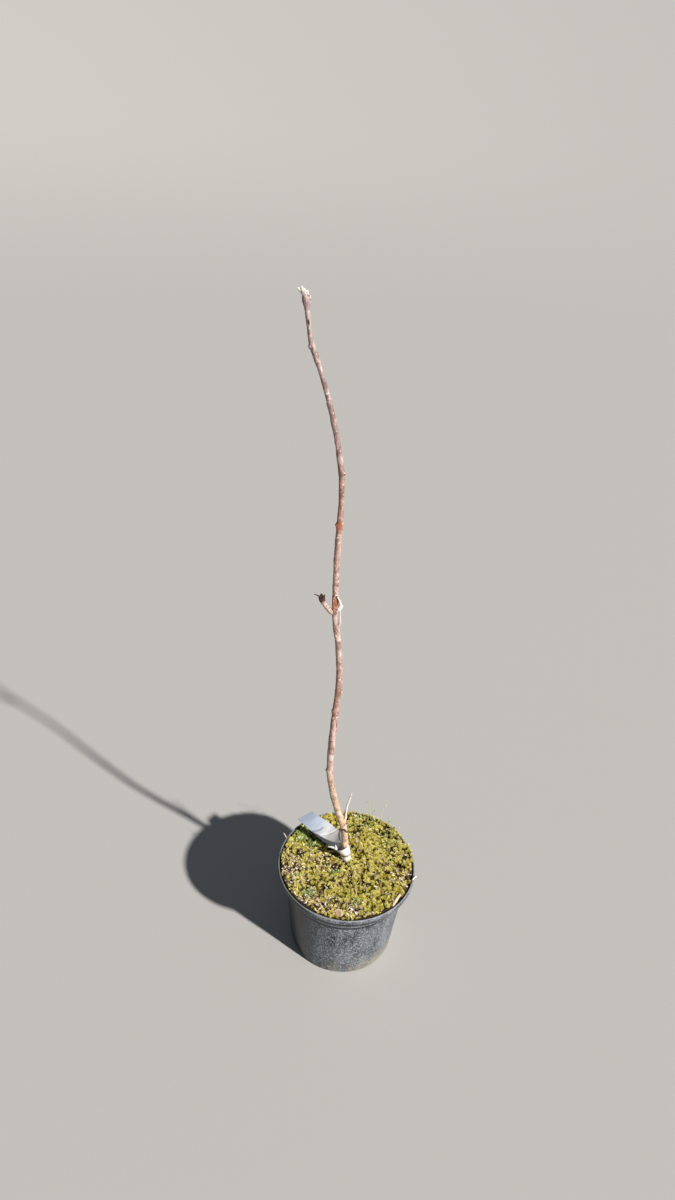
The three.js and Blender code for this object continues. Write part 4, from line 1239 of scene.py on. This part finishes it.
def bark_marks(rubbed, pale, eye):
    """The three bark marks of a tube as flat rows, with a value for each end's middle."""
    marks = {"rubbed": rubbed, "pale": pale, "eye": eye}
    return {name: np.concatenate([v.ravel(), v[0, :1], v[-1, :1]]).clip(0, 1) for name, v in marks.items()}


def make_left_spur(bark):
    """The cut spur on the left: a limb whose upper end is torn into teeth and sinks into a dark bowl,
    paler on its right side as painted highlight and darker on its left as painted shade."""
    points, rugged = limb(*LEFT_SPUR, 81)
    rows, columns = rugged.shape
    tip = np.linspace(0, 1, rows)[:, None] + 0 * rugged
    around = np.arange(columns)[None] * 2 * np.pi / columns + 0 * rugged
    teeth = 0.0034 * np.abs(np.sin(2.5 * around + 0.4)) ** 2 + 0.002 * rugged - 0.001
    points[..., 2] += ease(0.9, 1, tip) * teeth
    edge, inwards = points[-1], np.linspace(0, 1, 5)[1:, None, None]
    bowl = edge[None] * (1 - inwards * 0.85) + edge.mean(0) * inwards * 0.85 - inwards ** 0.5 * (0, 0, 0.0028)
    # Painted light: paler on the right, towards the main light, as painted highlight, and darker on the left
    # as painted shade.
    painted_light_side = 0.5 + 0.5 * np.cos(around - math.radians(335))
    middle = ease(0.1, 0.3, tip) * ease(0.8, 0.7, tip)
    pale = 0.6 * ease(0.45, 0.85, painted_light_side) * middle * ease(-0.5, 0.4, rugged)
    eye = np.maximum(0.92 * ease(0.74, 0.84, tip), 0.55 * ease(0.55, 0.15, painted_light_side) * ease(0.15, 0.5, tip))
    marks = [np.concatenate([values, values[-1:] * np.ones((len(bowl), 1))])
             for values in (0.2 * (1 - tip), pale, eye)]
    shape, faces = closed_tube(np.concatenate([points, bowl]))
    piece("left_spur", shape, faces, bark, bark_marks(*marks), stands_for=("spur_left",))


def make_dark_limb(name, shape, seed, across, dark, bark):
    """A thin dead limb that is evenly dark: the torn thread on the left spur, or the
    tendril round the stem."""
    points, rugged = limb(*shape, seed, across)
    joined, faces = closed_tube(points)
    marks = bark_marks(0 * rugged, 0 * rugged, dark + 0 * rugged)
    piece(name, joined, faces, bark, marks)


def make_wood(name, limbs, seed, darkness, ends, wood, stands_for):
    """Bare wood: one or more limbs as one piece. Darkness works out the dark splits of a limb from its
    points and their roughness, and ends holds the marks of the middles of its two ends."""
    parts, dark = [], []
    for shape in limbs:
        points, rugged = limb(*shape, seed + len(parts))
        parts.append(closed_tube(points))
        dark.append(np.concatenate([darkness(points, rugged).ravel(), ends]))
    points, faces = gathered(parts)
    piece(name, points, faces, wood, {"eye": np.concatenate(dark)}, stands_for=stands_for)


def make_side_growth(s, bark):
    """The side growth: the left spur with its torn thread, the pale stub and flap of callus beside the wound
    with a hanging dead stalk, the dry twig at the foot, and a thin dark tendril round the stem."""
    wood = weathered_wood(s)
    make_left_spur(bark)
    make_dark_limb("left_spur_thread", SPUR_THREAD, 83, (0, 1, 0), 0.9, bark)
    make_wood(
        "right_stub", STUB_LIMBS, 85, lambda points, rugged: 0.35 * ease(0.3, 0.6, -rugged),
        (0, 0.2), wood, ("spur_right",))
    make_wood(
        "foot_twig_dry", (DRY_TWIG,), 89, lambda points, rugged: 0.5 * ease(0.2, 0.5, -rugged),
        (0, 0), wood, ("foot_twig",))
    make_dark_limb("dark_tendril", DARK_TENDRIL, 91, (0, 0, 1), 0.92, bark)
    return wood


def make_snag(wood, line):
    """The broken leader: a torn, bleached stump of bare wood that splays into splinters, with a nub beside
    it. It is darker towards its foot."""
    head = line[-1] * 1000

    def darkness(points, rugged):
        """Dark in the hollows of the wood, and more so towards its foot."""
        low = ease(9, 0, points[..., 2] * 1000 - head[2])
        return (0.07 + 0.8 * ease(0.1, 0.5, -rugged) + 0.34 * low).clip(0, 0.9)

    limbs = [(head + np.array(path, float), *rest) for path, *rest in SPLINTERS]
    make_wood("broken_leader", limbs, 95, darkness, (0, 0), wood, ("top_snag",))


def sheet_skin(middle, normal, thickness):
    """A grid of points as a closed thin sheet: its columns run over the top and back along the underside."""
    top, under = middle + normal * thickness / 2, middle - normal * thickness / 2
    points = np.concatenate([top, under[:, ::-1]], axis=1)
    rows, columns = points.shape[:2]
    half = columns // 2
    j = np.arange(half - 1)
    near = np.stack([j, columns - 1 - j, columns - 2 - j, j + 1], axis=1)
    end = (rows - 1) * columns
    far = np.stack([j + 1, columns - 2 - j, columns - 1 - j, j], axis=1) + end
    return points.reshape(-1, 3), [grid_faces(rows, columns), np.vstack([near, far])]


def make_card(s, material):
    """The card: straight lines between its left and its right edge, each a smooth curve through its named
    places. It drops out of the collar's mouth and rests on the moss and the lip, its edge by the stem curls
    up, and a crease crosses it where the grey panel of painted shade ends. Its outer end is tinted bluish as
    painted shade."""
    rows, columns = 200, 64
    edges = smooth_path(metres(CARD_EDGES), rows)
    u = np.linspace(0, 1, rows)[:, None]
    w = np.linspace(0, 1, columns)[None]
    left, right = edges[:, None, :3], edges[:, None, 3:]
    middle = left + (right - left) * w[..., None]
    from_right = np.linalg.norm(right - middle, axis=-1)
    from_left = np.linalg.norm(middle - left, axis=-1)
    curl = 0.0014 * np.clip(1 - from_right / 0.004, 0, 1) ** 2 * ease(0.42, 0.32, u) * ease(0.02, 0.08, u)
    fold = np.interp(w, CREASE_ACROSS, CREASE_ALONG)
    crease = 0.0007 * np.exp(-((u - fold) / 0.014) ** 2)
    middle[..., 2] += curl - crease + 0.0005 * rough(middle, 0.016, 101, 2)
    normal = np.cross(np.gradient(middle, axis=1), np.gradient(middle, axis=0))
    normal /= np.linalg.norm(normal, axis=-1)[..., None]
    normal *= np.sign(normal[..., 2:])
    shape, faces = sheet_skin(middle[:, ::-1], normal[:, ::-1], s.sheet)
    # Painted shade: the grey panel between the collar and the crease, and the bluish tint towards the outer
    # end.
    inside = ease(-0.004, 0.004, fold - u) * ease(0.0006, 0.0014, from_left) * ease(0.0012, 0.002, from_right)
    bluish_painted_shade = ease(0.42, 0.78, u) + 0 * w
    marks = {"painted_shade_panel": inside, "bluish_painted_shade": bluish_painted_shade}
    marks = {name: np.concatenate([value[:, ::-1], value], axis=1) for name, value in marks.items()}
    piece("label_card_sheet", shape, faces, material, marks, stands_for=("label_card",))


def blank(points):
    """The label's two marks for a piece that has neither panel nor tint."""
    return {"painted_shade_panel": np.zeros(len(points)), "bluish_painted_shade": np.zeros(len(points))}


def make_collar(s, material, line):
    """The collar: two cuffs of one cone of sheet round the stem. Each is straight lines from a lower to
    an upper ring. The upper one leans out towards the card and its mouth slants, and a slit parts them
    except at the back."""
    columns = 96
    bearing = np.arange(columns)[None] * 2 * np.pi / columns
    right, front = np.cos(bearing), -np.sin(bearing)
    slit = s.foot_height + 0.013 + 0.0015 * right + 0.003 * front
    gap = s.slit * ease(-0.75, 0.1, front)
    mouth = ease(0.45, 0.95, np.cos(bearing - math.radians(115)))
    rim = s.top_height + 0.004 + 0.0045 * right + 0.0035 * front - 0.008 * mouth
    # Each cuff: its lower and upper edge, its radius there, and how far its middle is off the stem's there.
    cuffs = (
        (s.foot_height - 0.0045 - 0.0025 * front, slit, s.foot_radius, 0.0107, -0.0003, -0.0013),
        (slit + gap, rim, 0.0109, s.top_radius, -0.0014, -0.0082),
    )
    t = np.linspace(0, 1, 26)[:, None]
    parts = []
    for low, high, near, far, shift, lean in cuffs:
        height = low + (high - low) * t
        radius = near + (far - near) * t + 0.0005 * np.sin(3 * bearing + 0.6) * t
        centre_x = np.interp(height, line[:, 2], line[:, 0]) + shift + (lean - shift) * t
        centre_y = np.interp(height, line[:, 2], line[:, 1]) - 0.0006 * t
        rings = [np.stack([centre_x + reach * right, centre_y + reach * np.sin(bearing), height], axis=-1)
                 for reach in (radius, radius - s.sheet)]
        ring = np.concatenate([rings[0], rings[1][::-1], rings[0][:1]])
        parts.append((ring.reshape(-1, 3), [grid_faces(*ring.shape[:2])]))
    shape, faces = gathered(parts)
    made = piece(
        "label_collar_cuffs", shape, faces, material, blank(shape),
        stands_for=("label_collar",))
    weld(made, 1e-6)


def make_tongues(s, material):
    """The label's two tongues at the collar's mouth: strips of sheet that narrow evenly towards the tip and
    bow by half a sine wave."""
    u, v = np.linspace(0, 1, 24)[:, None], np.linspace(-0.5, 0.5, 9)[None]
    parts = []
    for start, reach, side, wide, narrow, rise, facing in TONGUES:
        across = v * (wide + (narrow - wide) * u) / 1000
        tongue = metres(start) + u[..., None] * metres(reach) + across[..., None] * np.array(side)
        tongue[..., 2] += rise / 1000 * np.sin(np.pi * u)
        parts.append(sheet_skin(tongue[:, ::-1], np.broadcast_to(np.array(facing), tongue.shape), s.sheet))
    shape, faces = gathered(parts)
    piece("label_tongues", shape, faces, material, blank(shape))


# The stage.

def make_floor(s):
    """The plain floor: rings whose height is the running sum of a slope that eases in with the distance."""
    radius = np.concatenate([[0.02, 1, 3], np.geomspace(FLOOR_FLAT, FLOOR_REACH, 40)])[:, None]
    slope = np.tan(math.radians(FLOOR_SLOPE) * ease(FLOOR_FLAT, FLOOR_STEEP, radius))
    rise = np.cumsum((slope[1:] + slope[:-1]) / 2 * np.diff(radius, axis=0), axis=0)
    height = np.concatenate([[[0.0]], rise])
    side = np.arange(FLOOR_SIDES)
    bearing = side[None] * 2 * np.pi / FLOOR_SIDES
    bowl = np.stack([radius * np.cos(bearing), radius * np.sin(bearing), height + 0 * bearing], axis=-1)
    points = np.vstack([bowl.reshape(-1, 3), (0, 0, 0)])
    fan = np.stack([np.full(FLOOR_SIDES, len(points) - 1), side, (side + 1) % FLOOR_SIDES], axis=1)
    mesh = bpy.data.meshes.new("stage_floor")
    mesh.from_pydata(points.tolist(), [], grid_faces(*bowl.shape[:2])[:, ::-1].tolist() + fan.tolist())
    mesh.polygons.foreach_set("use_smooth", np.ones(len(mesh.polygons), bool))
    mesh.materials.append(stage_paper(s))
    floor = bpy.data.objects.new("stage_floor", mesh)
    bpy.context.scene.collection.objects.link(floor)


def make_lights(s):
    """Even light from a plain sky, a plain backdrop that only the camera sees, and the main light."""
    world = bpy.data.worlds.new("even_light")
    world.use_nodes = True
    tree = world.node_tree
    sky = tree.nodes["Background"]
    sky.inputs["Color"].default_value = (*s.sky, 1)
    sky.inputs["Strength"].default_value = s.sky_strength
    backdrop = add(tree, "Background", {"Color": (*s.backdrop, 1), "Strength": 1.0})
    seen = add(tree, "LightPath").outputs["Is Camera Ray"]
    either = add(tree, "MixShader", {0: seen, 1: sky.outputs[0], 2: backdrop.outputs[0]})
    tree.links.new(either.outputs[0], tree.nodes["World Output"].inputs["Surface"])
    bpy.context.scene.world = world

    key = bpy.data.lights.new("key_light", "SUN")
    key.energy, key.color, key.angle = s.key_strength, s.key, s.key_softness
    lamp = bpy.data.objects.new("key_light", key)
    lamp.rotation_euler = (s.key_tilt, 0, s.key_turn)
    bpy.context.scene.collection.objects.link(lamp)


def make_camera(s):
    """The camera that took the photograph, and plain colours in the render."""
    view = bpy.data.cameras.new("camera")
    view.lens, view.sensor_width, view.clip_end = s.lens, FILM_SIDE, VIEW_REACH
    camera = bpy.data.objects.new("camera", view)
    turn = Matrix.Rotation(math.pi / 2 - s.pitch, 4, "X") @ Matrix.Rotation(s.roll, 4, "Z")
    camera.matrix_world = Matrix.Translation(s.eye) @ turn
    bpy.context.scene.collection.objects.link(camera)
    bpy.context.scene.camera = camera
    bpy.context.scene.view_settings.view_transform = "Standard"


# Operators.

class SAPLING_OT_pot(bpy.types.Operator):
    """Makes the nursery pot"""
    bl_idname = "sapling.pot"
    bl_label = "Nursery Pot"

    def execute(self, context):
        make_pot(context.scene.sapling_pot)
        return {"FINISHED"}


class SAPLING_OT_root_ball(bpy.types.Operator):
    """Makes the root ball's covering of compost, bark chips and dry stalks"""
    bl_idname = "sapling.root_ball"
    bl_label = "Root Ball"

    def execute(self, context):
        ball = context.scene.sapling_ball
        cushions = sorted(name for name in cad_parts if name.startswith("moss_cushion"))
        if not cushions:
            raise RuntimeError("the frame holds no moss cushions")
        carpet = make_carpet(ball, cushions)
        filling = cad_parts["root_ball"].data.materials
        filling.clear()
        filling.append(carpet.data.materials[0])
        rng, mulch = np.random.default_rng(19), bark_mulch()
        make_chips(ball, rng, mulch)
        make_straws(ball, rng, mulch)
        make_pale_chip(mulch)
        return {"FINISHED"}


class SAPLING_OT_moss(bpy.types.Operator):
    """Makes the moss, its stalks and the seedlings"""
    bl_idname = "sapling.moss"
    bl_label = "Moss"

    def execute(self, context):
        ball, moss = context.scene.sapling_ball, context.scene.sapling_moss
        make_moss(ball, moss)
        rng, leaf = np.random.default_rng(5), seedling_leaf(moss)
        make_seedlings(ball, rng, leaf)
        make_moss_stalks(ball, moss, rng, leaf)
        return {"FINISHED"}


class SAPLING_OT_stem(bpy.types.Operator):
    """Makes the stem with its spurs, twigs and broken leader"""
    bl_idname = "sapling.stem"
    bl_label = "Stem"

    def execute(self, context):
        stem = context.scene.sapling_stem
        bark, line = make_stem(stem, context.scene.sapling_ball)
        wood = make_side_growth(stem, bark)
        make_snag(wood, line)
        return {"FINISHED"}


class SAPLING_OT_label(bpy.types.Operator):
    """Makes the blank label's card, collar and tongues"""
    bl_idname = "sapling.label"
    bl_label = "Label"

    def execute(self, context):
        label = context.scene.sapling_label
        sheet = label_sheet(label)
        line, _, _ = stem_line(context.scene.sapling_stem, context.scene.sapling_ball, 400)
        make_card(label, sheet)
        make_collar(label, sheet, line)
        make_tongues(label, sheet)
        return {"FINISHED"}


class SAPLING_OT_stage(bpy.types.Operator):
    """Makes the floor, the lights and the camera"""
    bl_idname = "sapling.stage"
    bl_label = "Stage"

    def execute(self, context):
        stage = context.scene.sapling_stage
        make_floor(stage)
        make_lights(stage)
        make_camera(stage)
        return {"FINISHED"}


class SAPLING_PT_panel(bpy.types.Panel):
    """Lists the pieces of the potted sapling"""
    bl_idname = "SAPLING_PT_panel"
    bl_label = "Potted Sapling"
    bl_space_type = "VIEW_3D"
    bl_region_type = "UI"
    bl_category = "Sapling"

    def draw(self, context):
        for operator in OPERATORS:
            self.layout.operator(operator.bl_idname)


GROUPS = {
    "sapling_pot": PotSettings,
    "sapling_ball": RootBallSettings,
    "sapling_moss": MossSettings,
    "sapling_stem": StemSettings,
    "sapling_label": LabelSettings,
    "sapling_stage": StageSettings,
}
OPERATORS = (
    SAPLING_OT_stage, SAPLING_OT_pot, SAPLING_OT_root_ball, SAPLING_OT_moss, SAPLING_OT_stem,
    SAPLING_OT_label,
)


def register():
    for kind in (*GROUPS.values(), *OPERATORS, SAPLING_PT_panel):
        bpy.utils.register_class(kind)
    for name, kind in GROUPS.items():
        setattr(bpy.types.Scene, name, bpy.props.PointerProperty(type=kind))


def unregister():
    for name in GROUPS:
        delattr(bpy.types.Scene, name)
    for kind in (SAPLING_PT_panel, *OPERATORS, *GROUPS.values()):
        bpy.utils.unregister_class(kind)


def main():
    """Builds every piece in order."""
    register()
    bpy.ops.sapling.stage()
    bpy.ops.sapling.pot()
    bpy.ops.sapling.root_ball()
    bpy.ops.sapling.moss()
    bpy.ops.sapling.stem()
    bpy.ops.sapling.label()
    bpy.context.view_layer.update()


if __name__ == "__main__":
    main()
